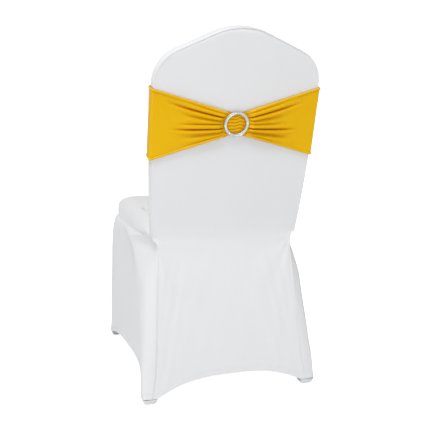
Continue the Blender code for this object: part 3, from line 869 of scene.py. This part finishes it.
@dataclass
class Relief:
    """The small rise and fall of the sewn, stretched cloth: its hem's fold and its soft pull lines."""

    hem_rise: float = 0.0007
    hem_width: float = 0.0135
    stitch_dip: float = 0.0005
    pull: float = 0.0011
    waves: tuple[tuple[float, float, float], ...] = ((3.1, 1.7, 0.4), (5.3, -2.9, 1.9), (8.7, 4.1, 4.4))

    def hem(self, up: np.ndarray) -> np.ndarray:
        """Return the height of the folded hem at distances up from its edge."""
        fold = self.hem_rise * smooth((self.hem_width + 0.002 - up) / 0.002)
        dip = self.stitch_dip * np.exp(-(((up - self.hem_width + 0.001) / 0.0012) ** 2))
        return fold - dip

    def drift(self, u: np.ndarray, v: np.ndarray) -> np.ndarray:
        """Return the broad unevenness at shares across and up a panel, nothing at its edges."""
        total = sum(np.sin(a * u * math.pi + b * v * math.pi + c) for a, b, c in self.waves)
        edge = smooth(np.minimum(u, 1 - u) / 0.18) * smooth(np.minimum(v, 1 - v) / 0.15)
        return self.pull * total * edge / len(self.waves)

    def rays(self, across: np.ndarray, down: np.ndarray, count: float, reach: float) -> np.ndarray:
        """Return soft creases that fan out from a corner.

        Args:
            across: distances from the corner across the panel.
            down: distances from the corner down the panel.
            count: how many creases lie in the quarter turn.
            reach: how far they run.

        Returns:
            Their heights.
        """
        far = np.hypot(across, down)
        angle = np.arctan2(down, np.maximum(across, 1e-6))
        fade = smooth(far / 0.03) * smooth((reach - far) / (reach * 0.8))
        return self.pull * 0.8 * np.cos(angle * 4 * count) * fade


def soften(lower: np.ndarray, upper: np.ndarray, mask: np.ndarray, spread: float) -> tuple[np.ndarray, np.ndarray]:
    """Ease the fold where one grid's columns run on into another's.

    Args:
        lower: the grid whose last row is the fold.
        upper: the grid whose first row is the fold.
        mask: how much each column is eased, from 0 to 1.
        spread: about half the length of cloth that the fold is spread over.

    Returns:
        The two grids, eased.
    """
    fold = lower.shape[1] - 1
    joined = np.concatenate([lower, upper[:, 1:]], axis=1)
    eased = joined.copy()
    for k, line in enumerate(joined):
        if mask[k] <= 0:
            continue
        reach = np.concatenate([[0], np.cumsum(np.linalg.norm(np.diff(line, axis=0), axis=1))])
        weights = np.exp(-(((reach[:, None] - reach[None]) / spread) ** 2)) * np.gradient(reach)[None]
        weights /= weights.sum(axis=1, keepdims=True)
        near = smooth((3 * spread - np.abs(reach - reach[fold])) / (1.5 * spread)) * mask[k]
        eased[k] = line + (weights @ line - line) * near[:, None]
    return eased[:, : fold + 1], eased[:, fold:]


@dataclass
class Cover:
    """The white cover: its five panels, their seams and their hems."""

    back: BackForm = field(default_factory=BackForm)
    pad: PadForm = field(default_factory=PadForm)
    skirt: SkirtForm = field(default_factory=SkirtForm)
    relief: Relief = field(default_factory=Relief)
    cloth: float = 0.0014
    front_steps: int = 36
    side_steps: int = 48
    strip_steps: int = 8
    back_rows: int = 54
    seat_rows: int = 22
    wall_rows: int = 14
    welt: float = 0.0008

    def shares(self) -> np.ndarray:
        """Return where the columns stand across the back, 0 on the centre line and 1 at the edge."""
        inner = np.linspace(0, 0.62, self.front_steps + 1)
        return np.concatenate([inner, np.linspace(0.62, 1, self.side_steps + 1)[1:]])

    def columns(self) -> np.ndarray:
        """Return the pad's columns, -6 on the centre line and 8 at the waist."""
        inner = np.linspace(-6, 0, self.front_steps + 1)
        return np.concatenate([inner, np.linspace(0, 8, self.side_steps + 1)[1:]])

    def skirt_front(self) -> np.ndarray:
        """Return the left half of the skirt's front."""
        lines = []
        for column in self.columns()[: self.front_steps + 1]:
            share = (1 + column / 6) ** 0.7
            low = self.skirt.front_hem.height(self.skirt.line("front_seam", 0.0152)[0] * share)
            crease = self.pad.ring(0, column, self.back)
            lines.append(self.skirt.column(
                lambda z, s=share: self.skirt.flat("front", "front_seam", s, z), low, crease))
        return np.array(lines)

    def skirt_side(self) -> np.ndarray:
        """Return the left side of the skirt, front seam to rear seam."""
        lines = []
        extra = np.linspace(8, 10, self.strip_steps + 1)[1:]
        for column in np.concatenate([self.columns()[self.front_steps:], extra]):
            low = self.skirt.side_hem.height(self.skirt.side(column, 0.04)[1] + CENTRE_Y)
            if column <= 8:
                crease = self.pad.ring(0, column, self.back)
            else:
                share = (column - 8) / 2
                crease = self.back.at(self.back.half_waist, 0.0, self.back.thick * share)
                crease[0] += self.back.bulge * math.sin(math.pi * share)
            lines.append(self.skirt.column(lambda z, c=column: self.skirt.side(c, z), low, crease))
        return np.array(lines)

    def skirt_rear(self, seam: np.ndarray) -> np.ndarray:
        """Return the left half of the skirt's rear, whose last column is the side's last one."""
        lines = []
        for share in self.shares():
            low = self.skirt.rear_hem.height(self.skirt.line("rear_seam", 0.0152)[0] * share)
            crease = self.back.at(self.back.half_waist * share, 0.0, self.back.thick)
            lines.append(self.skirt.column(
                lambda z, s=share: self.skirt.flat("rear", "rear_seam", s, z), low, crease))
        lines[-1] = seam
        return np.array(lines)

    def seat(self) -> np.ndarray:
        """Return the left half of the pad's wall and the seat's top."""
        lines = []
        for column, share in zip(self.columns(), self.shares()):
            line = [self.pad.ring(level, column, self.back) for level in np.linspace(0, 4, self.wall_rows + 1)]
            steps = np.linspace(0, 1, self.seat_rows + 1)[1:]
            line += [self.pad.seat(column, share, row, self.back) for row in steps]
            lines.append(line)
        return np.array(lines)

    def edge(self, inside: np.ndarray, outside: np.ndarray) -> np.ndarray:
        """Join the outer edges of the back's two faces with a strip that swells a little."""
        inner = np.vstack([inside[-1], inside[:-1, -1][::-1]])
        outer = np.vstack([outside[-1], outside[:-1, -1][::-1]])
        beyond = inner[-2] * np.array([-1, 1, 1])
        tangents = np.vstack([inner[1:], beyond]) - np.vstack([inner[:1], inner[:-1]])
        outward = -np.cross(tangents, outer - inner)
        outward /= np.linalg.norm(outward, axis=1, keepdims=True)
        outward[0] = (1.0, 0.0, 0.0)
        lines = []
        for share in np.linspace(0, 1, self.strip_steps + 1):
            swell = self.back.bulge * math.sin(math.pi * share)
            lines.append(inner + (outer - inner) * share + outward * swell)
        return np.transpose(np.array(lines), (1, 0, 2))

    def ease(self, side: np.ndarray, seat: np.ndarray, rear: np.ndarray, outside: np.ndarray,
             strip: np.ndarray) -> tuple[np.ndarray, ...]:
        """Ease the folds that the stretched cloth spans: behind at the waist, and beside the pad."""
        steps = self.side_steps
        mask = smooth((1 - self.shares()) / 0.12)
        rear, outside = soften(rear, outside, mask, 0.030)
        columns = np.linspace(0, 8, steps + 1)
        mask = smooth((columns - 0.6) / 2.6) * smooth((8 - columns) / 2.2)
        beside, over = soften(side[: steps + 1], seat[self.front_steps:], mask, 0.024)
        seat = np.concatenate([seat[: self.front_steps], over])
        mask = np.sin(np.linspace(0, math.pi, self.strip_steps + 1)) ** 0.5
        mask[0] = mask[-1] = 0.0
        flank, rising = soften(side[steps:], np.transpose(strip, (1, 0, 2)), mask, 0.014)
        side = np.concatenate([beside[:-1], flank])
        return side, seat, rear, outside, np.transpose(rising, (1, 0, 2))

    def dress_skirt(self, grid: np.ndarray, turned: bool, corner: Optional[tuple[float, float]]) -> np.ndarray:
        """Give a part of the skirt its hem fold and its pull lines.

        Args:
            grid: the plain grid, indexed by column and then by row up from the hem.
            turned: whether the grid's own normals point inwards.
            corner: a share across and the height of a corner that creases fan out from, if any.

        Returns:
            The moved grid.
        """
        up = grid[:, :, 2] - grid[:, :1, 2]
        u = np.linspace(0, 1, grid.shape[0])[:, None] * np.ones(grid.shape[1])
        v = np.clip(up / (self.skirt.rail_z - grid[:, :1, 2]), 0, 1)
        rise = self.relief.hem(up) + self.relief.drift(u, v)
        if corner is not None:
            widest = np.linalg.norm(grid[-1, -1] - grid[0, -1])
            rise += self.relief.rays(np.abs(u - corner[0]) * widest, corner[1] - grid[:, :, 2], 2.5, 0.24)
        rise = rise * smooth((grid[:, -1:, 2] - grid[:, :, 2]) / 0.030)
        normals = grid_normals(grid) * (-1 if turned else 1)
        return grid + normals * rise[:, :, None]

    def mirrored(self, builder: MeshBuilder, grid: np.ndarray, flip: bool) -> None:
        """Add a grid and its mirror image to a mesh."""
        builder.add_grid(grid, flip)
        builder.add_grid(grid * np.array([-1, 1, 1]), not flip)

    def build(self) -> dict[Panel, bpy.types.Object]:
        """Build the panels, seams and stitching.

        Returns:
            The panels' pieces.
        """
        front = self.skirt_front()
        side = self.skirt_side()
        rear = self.skirt_rear(side[-1])
        seat = self.seat()
        shares = self.shares()
        inside = self.back.face(seat[:, -1], 0.0, shares, self.back_rows)
        outside = self.back.face(rear[:, -1], self.back.thick, shares, self.back_rows)
        strip = self.edge(inside, outside)
        side, seat, rear, outside, strip = self.ease(side, seat, rear, outside, strip)
        front = self.dress_skirt(front, False, (1.0, 0.385))
        side = self.dress_skirt(side, False, (1.0, 0.40))
        rear = self.dress_skirt(rear, True, (1.0, 0.40))
        material = WHITE_CLOTH.material()
        pieces: dict[Panel, bpy.types.Object] = {}

        builder = MeshBuilder()
        for grid in (front, seat, inside):
            self.mirrored(builder, grid, False)
        pieces[Panel.FRONT] = builder.piece("front_length", material, "white_knit")

        builder = MeshBuilder()
        for grid in (rear, outside):
            self.mirrored(builder, grid, True)
        pieces[Panel.BACK] = builder.piece("back_length", material, "white_knit")

        for panel, half in ((Panel.SIDE_LEFT, Side.LEFT), (Panel.SIDE_RIGHT, Side.RIGHT)):
            builder = MeshBuilder()
            builder.add_grid(side * np.array([half.value, 1, 1]), half is Side.RIGHT)
            pieces[panel] = builder.piece(f"skirt_side_{half.name.lower()}", material, "white_knit")

        builder = MeshBuilder()
        self.mirrored(builder, strip, True)
        pieces[Panel.EDGE] = builder.piece("back_edge_gusset", material, "white_knit")

        for panel, piece in pieces.items():
            thicken(piece, self.cloth, outward=False)
            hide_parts(panel.value)
        self.sew(front, side, rear, strip)
        return pieces

    def sew(self, front: np.ndarray, side: np.ndarray, rear: np.ndarray, strip: np.ndarray) -> None:
        """Lay the raised seams and the hems' two rows of stitches."""
        welts = MeshBuilder()
        edges = MeshBuilder()
        stitches = MeshBuilder()
        first = self.skirt.near_hem.index(0.0115)
        second = self.skirt.near_hem.index(0.0145)
        for half in Side:
            mirror = np.array([half.value, 1, 1])
            for line in (side[0], side[-1]):
                count = int(line_length(line) / 0.004)
                welts.add_tube(along_line(line * mirror, np.linspace(0, 1, count)), self.welt)
            for line in (strip[:, 0], strip[:, -1]):
                count = int(line_length(line) / 0.004)
                edges.add_tube(along_line(line * mirror, np.linspace(0, 1, count)), self.welt)
            for grid, turned in ((front, False), (side, False), (rear, True)):
                normals = grid_normals(grid) * (-1 if turned else 1)
                for row in (first, second):
                    self.stitch_line(stitches, grid[:, row] * mirror, normals[:, row] * mirror)
        thread = WHITE_THREAD.material()
        cloth = WHITE_CLOTH.material()
        welts.piece("skirt_seams", cloth, "white_knit")
        edges.piece("gusset_seams", cloth, "white_knit")
        stitches.piece("hem_stitching", thread, "white_knit")

    def stitch_line(self, builder: MeshBuilder, line: np.ndarray, normals: np.ndarray) -> None:
        """Add a row of stitches along a line on the cloth.

        Args:
            builder: the mesh that takes them.
            line: the points of the line.
            normals: the cloth's outward normals there.
        """
        pitch = 0.0042
        count = max(2, int(line_length(line) / pitch))
        places = along_line(line, (np.arange(count) + 0.5) / count)
        ahead = along_line(line, np.minimum(1.0, (np.arange(count) + 0.7) / count))
        upward = along_line(np.hstack([line, normals]), (np.arange(count) + 0.5) / count)[:, 3:]
        for place, next_place, normal in zip(places, ahead, upward):
            along = next_place - place
            length = np.linalg.norm(along)
            if length < 1e-7:
                continue
            along /= length
            normal = normal / np.linalg.norm(normal)
            across = np.cross(normal, along)
            ends = place + np.outer((-0.0015, 0.0015), along) - normal * 0.0001
            middle = [
                place + across * 0.00045 * math.cos(a) + normal * (0.0004 * max(0.0, math.sin(a)))
                for a in (0, math.pi / 3, 2 * math.pi / 3, math.pi)
            ]
            near = [point - along * 0.0009 for point in middle]
            far = [point + along * 0.0009 for point in middle]
            points = [ends[0], *near, *far, ends[1]]
            faces = [(0, k + 1, k) for k in (1, 2, 3)]
            faces += [(k, k + 1, k + 5, k + 4) for k in (1, 2, 3)]
            faces += [(9, k + 4, k + 5) for k in (1, 2, 3)]
            builder.add_solid(np.array(points), faces)


@dataclass
class FootPocket:
    """The closed end of one leg of the cover."""

    name: str
    centre: tuple[float, float]
    cloth: float = 0.0014
    levels: tuple[tuple[float, float, float], ...] = (
        # height, half width, corner radius
        (0.0000, 0.0128, 0.0064),
        (0.0006, 0.0146, 0.0073),
        (0.0025, 0.0164, 0.0082),
        (0.0065, 0.0180, 0.0088),
        (0.0110, 0.0194, 0.0090),
        (0.0138, 0.0200, 0.0090),
    )
    corner_steps: int = 8

    def ring(self, height: float, half: float, radius: float) -> np.ndarray:
        """Return a rounded square section."""
        points = []
        for quarter, (sx, sy) in enumerate(((1, 1), (-1, 1), (-1, -1), (1, -1))):
            for step in range(self.corner_steps + 1):
                angle = math.pi / 2 * (quarter + step / self.corner_steps)
                x = sx * (half - radius) + radius * math.cos(angle)
                y = sy * (half - radius) + radius * math.sin(angle)
                points.append((self.centre[0] + x, self.centre[1] - CENTRE_Y + y, height))
        points.append(points[0])
        return np.array(points)

    def build(self) -> bpy.types.Object:
        """Build the pocket and its rim seam."""
        builder = MeshBuilder()
        rings = [self.ring(*level) for level in self.levels]
        middle = np.array([self.centre[0], self.centre[1] - CENTRE_Y, 0.0])
        rings.insert(0, np.repeat(middle[None], len(rings[0]), axis=0))
        builder.add_grid(np.array(rings), flip=True)
        piece = builder.piece(f"{self.name}_cloth", WHITE_CLOTH.material(), "white_knit")
        thicken(piece, self.cloth, outward=False)
        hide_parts(self.name)
        seam = MeshBuilder()
        seam.add_tube(rings[-1][:-1], 0.0008, closed=True)
        rim = seam.piece(f"{self.name}_seam", WHITE_CLOTH.material(), "white_knit")
        return piece


@dataclass(frozen=True)
class Crease:
    """A crease of the gathered sash: its places across the band at the ring and at its far end."""

    at_ring: float
    at_end: float
    reach: float
    depth: float
    width: float


LEFT_CREASES = (
    Crease(0.50, 0.76, 0.185, 0.0078, 0.0021),
    Crease(0.24, 0.44, 0.150, 0.0040, 0.0026),
    Crease(0.02, 0.02, 0.158, 0.0044, 0.0022),
    Crease(-0.34, -0.14, 0.172, 0.0076, 0.0019),
    Crease(-0.60, -0.44, 0.150, 0.0036, 0.0032),
    Crease(0.80, 0.90, 0.130, 0.0028, 0.0020),
    Crease(-0.82, -0.90, 0.150, 0.0026, 0.0020),
)
RIGHT_CREASES = (
    Crease(0.44, 0.70, 0.178, 0.0074, 0.0021),
    Crease(0.18, 0.32, 0.140, 0.0036, 0.0028),
    Crease(-0.06, -0.02, 0.140, 0.0036, 0.0024),
    Crease(-0.38, -0.24, 0.172, 0.0076, 0.0020),
    Crease(-0.66, -0.56, 0.160, 0.0044, 0.0034),
    Crease(0.78, 0.88, 0.140, 0.0028, 0.0020),
    Crease(-0.84, -0.90, 0.130, 0.0024, 0.0020),
)


@dataclass
class Sash:
    """The golden band round the back, drawn together behind by the ring."""

    back: BackForm = field(default_factory=BackForm)
    cloth: float = 0.0011
    clear: float = 0.0022
    middle: float = 0.3030
    half: float = 0.0860
    front_half: float = 0.0640
    pinch_half: float = 0.0270
    ring_half: float = 0.0320
    ring_outer: float = 0.0315
    bundle: float = 0.0080
    ridge: float = 0.0024
    under_ring: float = 0.0010
    reach: float = 0.185
    deepest: float = 0.0078
    ripple: float = 0.0024
    ripple_count: float = 3.4
    roll: float = 0.0020
    roll_half: float = 0.0021
    near_edge: tuple[float, ...] = (0.0, 0.0004, 0.0010, 0.0017, 0.0025, 0.0033, 0.0039, 0.0043, 0.0052)
    rows: int = 72
    rear_steps: int = 170
    front_steps: int = 60
    turn_steps: int = 5

    def path(self) -> list[tuple[float, float, float, int]]:
        """Return the band's closed path as (x, depth, share, side): side is -1 in front and 1 behind."""
        flat = self.back.half_top + self.back.bulge
        front = [(flat * s, -self.clear, abs(s), -1) for s in np.linspace(-1, 1, self.front_steps + 1)]
        angles = [math.pi / 2 * k / self.turn_steps for k in range(1, self.turn_steps + 1)]
        turn = [(flat + self.clear * math.sin(a), -self.clear * math.cos(a), 1.0, 0) for a in angles]
        turn += [(x, self.back.thick - d, s, side) for x, d, s, side in turn[::-1]]
        rear = [
            (flat * s, self.back.thick + self.clear, abs(s), 1) for s in np.linspace(1, -1, self.rear_steps + 1)
        ]
        other = [(-x, d, s, side) for x, d, s, side in turn[::-1]]
        return front + turn + rear + other

    def tall(self, share: float, side: int) -> float:
        """Return half the band's width at a place on its path."""
        if side < 0:
            return self.front_half + (self.half - self.front_half) * share**3
        if side == 0:
            return self.half
        start = self.ring_outer / self.back.half_top
        if share < start:
            return self.pinch_half + (self.ring_half - self.pinch_half) * share / start
        return self.ring_half + (self.half - self.ring_half) * (share - start) / (1 - start)

    def across(self, tall: float) -> np.ndarray:
        """Return the rows' places across the band, -1 to 1, crowded at its rolled edges."""
        edge = 1 - np.array(self.near_edge) / tall
        inner = np.linspace(-edge[-1], edge[-1], self.rows + 1)
        return np.concatenate([-edge[:-1], inner, edge[:-1][::-1]])

    def lift(self, across: np.ndarray, tall: float, x: float) -> np.ndarray:
        """Return how far the band's rows stand off the back behind.

        Args:
            across: the rows' places across the band.
            tall: half the band's width there.
            x: the place along the back.

        Returns:
            The distance for each row.
        """
        near = max(0.0, 1 - abs(x) / self.reach)
        from_centre = np.hypot(x, across * tall)
        beside = smooth((from_centre - self.ring_outer - 0.0005) / 0.014)
        inside = smooth((self.ring_outer - 0.0065 - from_centre) / 0.010)
        body = self.bundle * near**1.25 * (1 - 0.85 * across**4)
        wave = sum(np.cos((k * across + 0.31 * k) * math.pi) for k in (3.1, 5.3)) / 2
        rise = body + self.ridge * near**1.4 * (0.5 + 0.5 * wave)
        for crease, offset, width, fade in self.folds(across, tall, x):
            rise = rise - crease.depth * fade * np.exp(-((offset / width) ** 2))
            shoulder = (offset + 1.9 * width) / (1.5 * width)
            rise = rise + 0.50 * crease.depth * fade * np.exp(-(shoulder**2))
        ridges = 1 - self.ripples(across, x)
        return self.under_ring * near**2 + beside * rise + inside * (0.0012 + self.ripple * ridges)

    def folds(self, across: np.ndarray, tall: float, x: float) -> list[tuple[Crease, np.ndarray, float, float]]:
        """Return each crease with the rows' distances from it, its width and its strength.

        Args:
            across: the rows' places across the band.
            tall: half the band's width there.
            x: the place along the back.

        Returns:
            A crease, distances, a width and a strength from 0 to 1, for each crease on that side.
        """
        found = []
        for crease in LEFT_CREASES if x > 0 else RIGHT_CREASES:
            t = float(np.clip((abs(x) - self.ring_outer) / (crease.reach - self.ring_outer), 0, 1))
            centre = crease.at_ring + (crease.at_end - crease.at_ring) * t
            strength = float(smooth(np.array((crease.reach - abs(x)) / (crease.reach * 0.42))))
            found.append((crease, (across - centre) * tall, crease.width * (1 + 0.8 * t), strength))
        return found

    def painted_crease_shade(self, across: np.ndarray, tall: float, x: float) -> np.ndarray:
        """Return how strongly the rows are painted with crease shade, from 0 to 1, in the creases and in the ripple
        furrows inside the ring.
        """
        share = np.zeros_like(across)
        outside_ring = float(smooth(np.array((abs(x) - self.ring_outer + 0.004) / 0.008)))
        for crease, offset, width, strength in self.folds(across, tall, x):
            deep = min(1.0, crease.depth / self.deepest) ** 1.3
            share = np.maximum(share, deep * strength * np.exp(-((offset / width) ** 2)))
        # painted shade in the furrows of the small ripples inside the ring
        inner = 0.45 * (1 - outside_ring) * self.ripples(across, x)
        return np.clip(share * outside_ring + inner, 0, 1)

    def ripples(self, across: np.ndarray, x: float) -> np.ndarray:
        """Return the depth of the small ripples inside the ring, from 0 on a ridge to 1 in a furrow."""
        phase = 0.35 * math.sin(x / 0.0065) + 0.2 * math.sin(x / 0.0031 + 1.0)
        return 0.5 - 0.5 * np.cos((self.ripple_count * 2 * across + phase) * math.pi)

    def build(self) -> bpy.types.Object:
        """Build the band."""
        lines = []
        shares = []
        for x, depth, share, side in self.path():
            tall = self.tall(share, side)
            across = self.across(tall)
            # the painted crease shade of each row, on the rear only
            shares.append(self.painted_crease_shade(across, tall, x) if side > 0 else np.zeros_like(across))
            rise = self.lift(across, tall, x) if side > 0 else np.zeros_like(across)
            to_edge = (1 - np.abs(across)) * tall
            rise = np.maximum(rise, -0.5 * self.clear)
            rolled = self.roll * np.sqrt(np.clip(1 - ((to_edge - self.roll_half) / self.roll_half) ** 2, 0, 1))
            fade = 1.0
            if side > 0:
                fade = float(smooth(np.array((abs(x) - self.ring_outer) / 0.012)))
            rise = rise + rolled * fade
            outward = 1 if side > 0 else -1
            if side == 0:
                centre_x = math.copysign(self.back.half_top + self.back.bulge, x)
                centre_depth = 0.0 if depth < self.back.thick / 2 else self.back.thick
                away = np.array([x - centre_x, depth - centre_depth])
                away /= np.linalg.norm(away)
                lines.append([
                    self.back.at(x + away[0] * r, self.middle + tall * a, depth + away[1] * r)
                    for a, r in zip(across, rise)
                ])
                continue
            lines.append([
                self.back.at(x, self.middle + tall * a, depth + outward * r) for a, r in zip(across, rise)
            ])
        lines.append(lines[0])
        builder = MeshBuilder()
        builder.add_grid(np.array(lines))
        piece = builder.piece("golden_band", GOLDEN_CLOTH.material(), "golden_knit")
        # the painted crease shade, stored on the points for the golden material
        mask = piece.data.attributes.new(CREASE_SHADE_ATTRIBUTE, "FLOAT", "POINT")
        for line, share in zip(lines, shares):
            for point, value in zip(line, share):
                mask.data[builder.vertex(point)].value = float(value)
        thicken(piece, self.cloth, outward=True)
        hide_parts("sash_band")
        return piece


@dataclass
class SliderRing:
    """The silver slider with its rows of small stones."""

    back: BackForm = field(default_factory=BackForm)
    outer: float = 0.0315
    band: float = 0.0072
    half_thick: float = 0.0021
    segments: int = 96
    stone_rows: tuple[float, ...] = (-0.0013, 0.0013)
    stone_radius: float = 0.00120
    stone_height: float = 0.0008
    profile: tuple[tuple[float, float], ...] = (
        # radial place and height, as shares of the half band and the half thickness
        (-1.00, -0.30), (-0.97, 0.45), (-0.88, 0.85), (-0.76, 0.95), (-0.66, 0.80), (-0.60, 0.48),
        (0.60, 0.48), (0.66, 0.80), (0.76, 0.95), (0.88, 0.85), (0.97, 0.45), (1.00, -0.30),
        (0.80, -0.85), (0.30, -1.00), (-0.30, -1.00), (-0.80, -0.85), (-1.00, -0.30),
    )

    def placed(self, radius: float, angle: float, height: float) -> np.ndarray:
        """Return a point of the ring: height is along its axis, away from the back."""
        low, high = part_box("slider_ring")
        centre = (np.array(low) + np.array(high)) / 2
        up = np.array([0.0, math.sin(self.back.lean), math.cos(self.back.lean)])
        out = np.array([0.0, math.cos(self.back.lean), -math.sin(self.back.lean)])
        sideways = np.array([1.0, 0.0, 0.0])
        return centre + radius * (math.cos(angle) * sideways + math.sin(angle) * up) + height * out

    def build(self) -> bpy.types.Object:
        """Build the ring and set its stones."""
        middle = self.outer - self.band / 2
        builder = MeshBuilder()
        lines = []
        for k in range(self.segments + 1):
            angle = 2 * math.pi * (k % self.segments) / self.segments
            lines.append([
                self.placed(middle + a * self.band / 2, angle, b * self.half_thick) for a, b in self.profile
            ])
        builder.add_grid(np.array(lines), flip=True)
        ring = builder.piece("ring_setting", MetalFinish().material(), "silver_ring")
        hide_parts("slider_ring")
        stones = MeshBuilder()
        for row, shift in enumerate(self.stone_rows):
            radius = middle + shift
            count = int(2 * math.pi * radius / (2 * self.stone_radius * 1.04))
            for k in range(count):
                self.stone(stones, radius, 2 * math.pi * (k + 0.5 * row) / count)
        gems = stones.piece("ring_stones", StoneFinish().material(), "silver_ring")
        gems.data.shade_flat()
        return ring

    def stone(self, builder: MeshBuilder, radius: float, angle: float) -> None:
        """Add one cut stone: a girdle, a crown of facets and a flat table."""
        floor = self.half_thick * 0.46
        sides = 8
        points = []
        for share, height in ((1.0, 0.0), (1.0, 0.35), (0.55, 1.0)):
            for k in range(sides):
                turn = 2 * math.pi * k / sides
                dr = share * self.stone_radius * math.cos(turn)
                dt = share * self.stone_radius * math.sin(turn)
                points.append(self.placed(radius + dr, angle + dt / radius, floor + height * self.stone_height))
        faces = [
            (row * sides + k, row * sides + (k + 1) % sides, (row + 1) * sides + (k + 1) % sides,
             (row + 1) * sides + k)
            for row in (0, 1)
            for k in range(sides)
        ]
        faces = [face[::-1] for face in faces]
        faces.append(tuple(range(2 * sides, 3 * sides))[::-1])
        faces.append(tuple(range(sides)))
        builder.add_solid(np.array(points), faces)


# ---------------------------------------------------------------- the studio
@dataclass
class Studio:
    """The floor, the soft light and the camera."""

    target: tuple[float, float, float] = (0.0, -CENTRE_Y, 0.470)
    azimuth: float = math.radians(163.25)
    elevation: float = math.radians(10.5)
    distance: float = 1.9993
    lens: float = 58.55
    shift: tuple[float, float] = (0.0319, -0.0379)
    sky: float = 0.53

    def floor(self) -> None:
        """Lay a large floor that is not part of the object."""
        mesh = bpy.data.meshes.new("floor")
        half = 14.0
        mesh.from_pydata([(-half, -half, 0), (half, -half, 0), (half, half, 0), (-half, half, 0)], [], [(0, 1, 2, 3)])
        mesh.materials.append(FloorFinish().material())
        made = bpy.data.objects.new("floor", mesh)
        made.location.z = -0.0005
        bpy.context.scene.collection.objects.link(made)

    def light(self, name: str, place: tuple[float, float, float], size: float, power: float) -> None:
        """Add a soft square light aimed at the cover."""
        data = bpy.data.lights.new(name, "AREA")
        data.size = size
        data.energy = power
        made = bpy.data.objects.new(name, data)
        made.location = place
        aim = Vector(self.target) - Vector(place)
        made.rotation_euler = aim.to_track_quat("-Z", "Y").to_euler()
        bpy.context.scene.collection.objects.link(made)

    def world(self) -> None:
        """Give the studio even white surroundings."""
        world = bpy.data.worlds.new("studio")
        world.use_nodes = True
        build = ShaderTree(world.node_tree)
        output = world.node_tree.nodes["World Output"]
        plain = world.node_tree.nodes["Background"]
        plain.inputs["Color"].default_value = (1.0, 1.0, 1.0, 1.0)
        plain.inputs["Strength"].default_value = self.sky
        seen = build.node("ShaderNodeBackground", Color=(1.0, 1.0, 1.0, 1.0), Strength=1.05)
        path = build.node("ShaderNodeLightPath")
        choose = build.node("ShaderNodeMixShader")
        build.join(path.outputs["Is Camera Ray"], choose.inputs[0])
        build.join(plain.outputs[0], choose.inputs[1])
        build.join(seen.outputs[0], choose.inputs[2])
        build.join(choose.outputs[0], output.inputs["Surface"])
        bpy.context.scene.world = world

    def camera(self) -> None:
        """Place the camera behind the chair's left rear corner."""
        data = bpy.data.cameras.new("camera")
        data.lens = self.lens
        data.sensor_width = 36.0
        data.shift_x, data.shift_y = self.shift
        data.dof.use_dof = False
        made = bpy.data.objects.new("camera", data)
        flat = math.cos(self.elevation)
        away = Vector((
            flat * math.sin(self.azimuth), -flat * math.cos(self.azimuth), math.sin(self.elevation),
        ))
        made.location = Vector(self.target) + away * self.distance
        made.rotation_euler = (-away).to_track_quat("-Z", "Y").to_euler()
        bpy.context.scene.collection.objects.link(made)
        bpy.context.scene.camera = made

    def build(self) -> None:
        """Set up the whole studio."""
        self.floor()
        self.world()
        self.light("key", (0.95, 1.5, 2.9), 0.7, 34.0)
        self.light("low_rear", (0.5, 2.6, 0.55), 1.6, 9.0)
        self.light("side", (2.6, 0.5, 1.3), 1.4, 2.5)
        self.light("front_fill", (0.8, -2.6, 2.0), 2.4, 12.0)
        self.camera()
        bpy.context.scene.view_settings.view_transform = "Standard"


FEET = {
    "foot_pocket_front_left": (0.2110, -0.2372),
    "foot_pocket_front_right": (-0.2110, -0.2372),
    "foot_pocket_rear_left": (0.2160, 0.2573),
    "foot_pocket_rear_right": (-0.2160, 0.2573),
}


def main() -> None:
    """Build the studio, then the cover, its feet, the sash and the ring."""
    logging.basicConfig(level=logging.INFO)
    Studio().build()
    cover = Cover()
    cover.build()
    for name, centre in FEET.items():
        FootPocket(name, centre).build()
    Sash(back=cover.back).build()
    SliderRing(back=cover.back).build()
    bpy.context.view_layer.update()


if __name__ == "__main__":
    main()
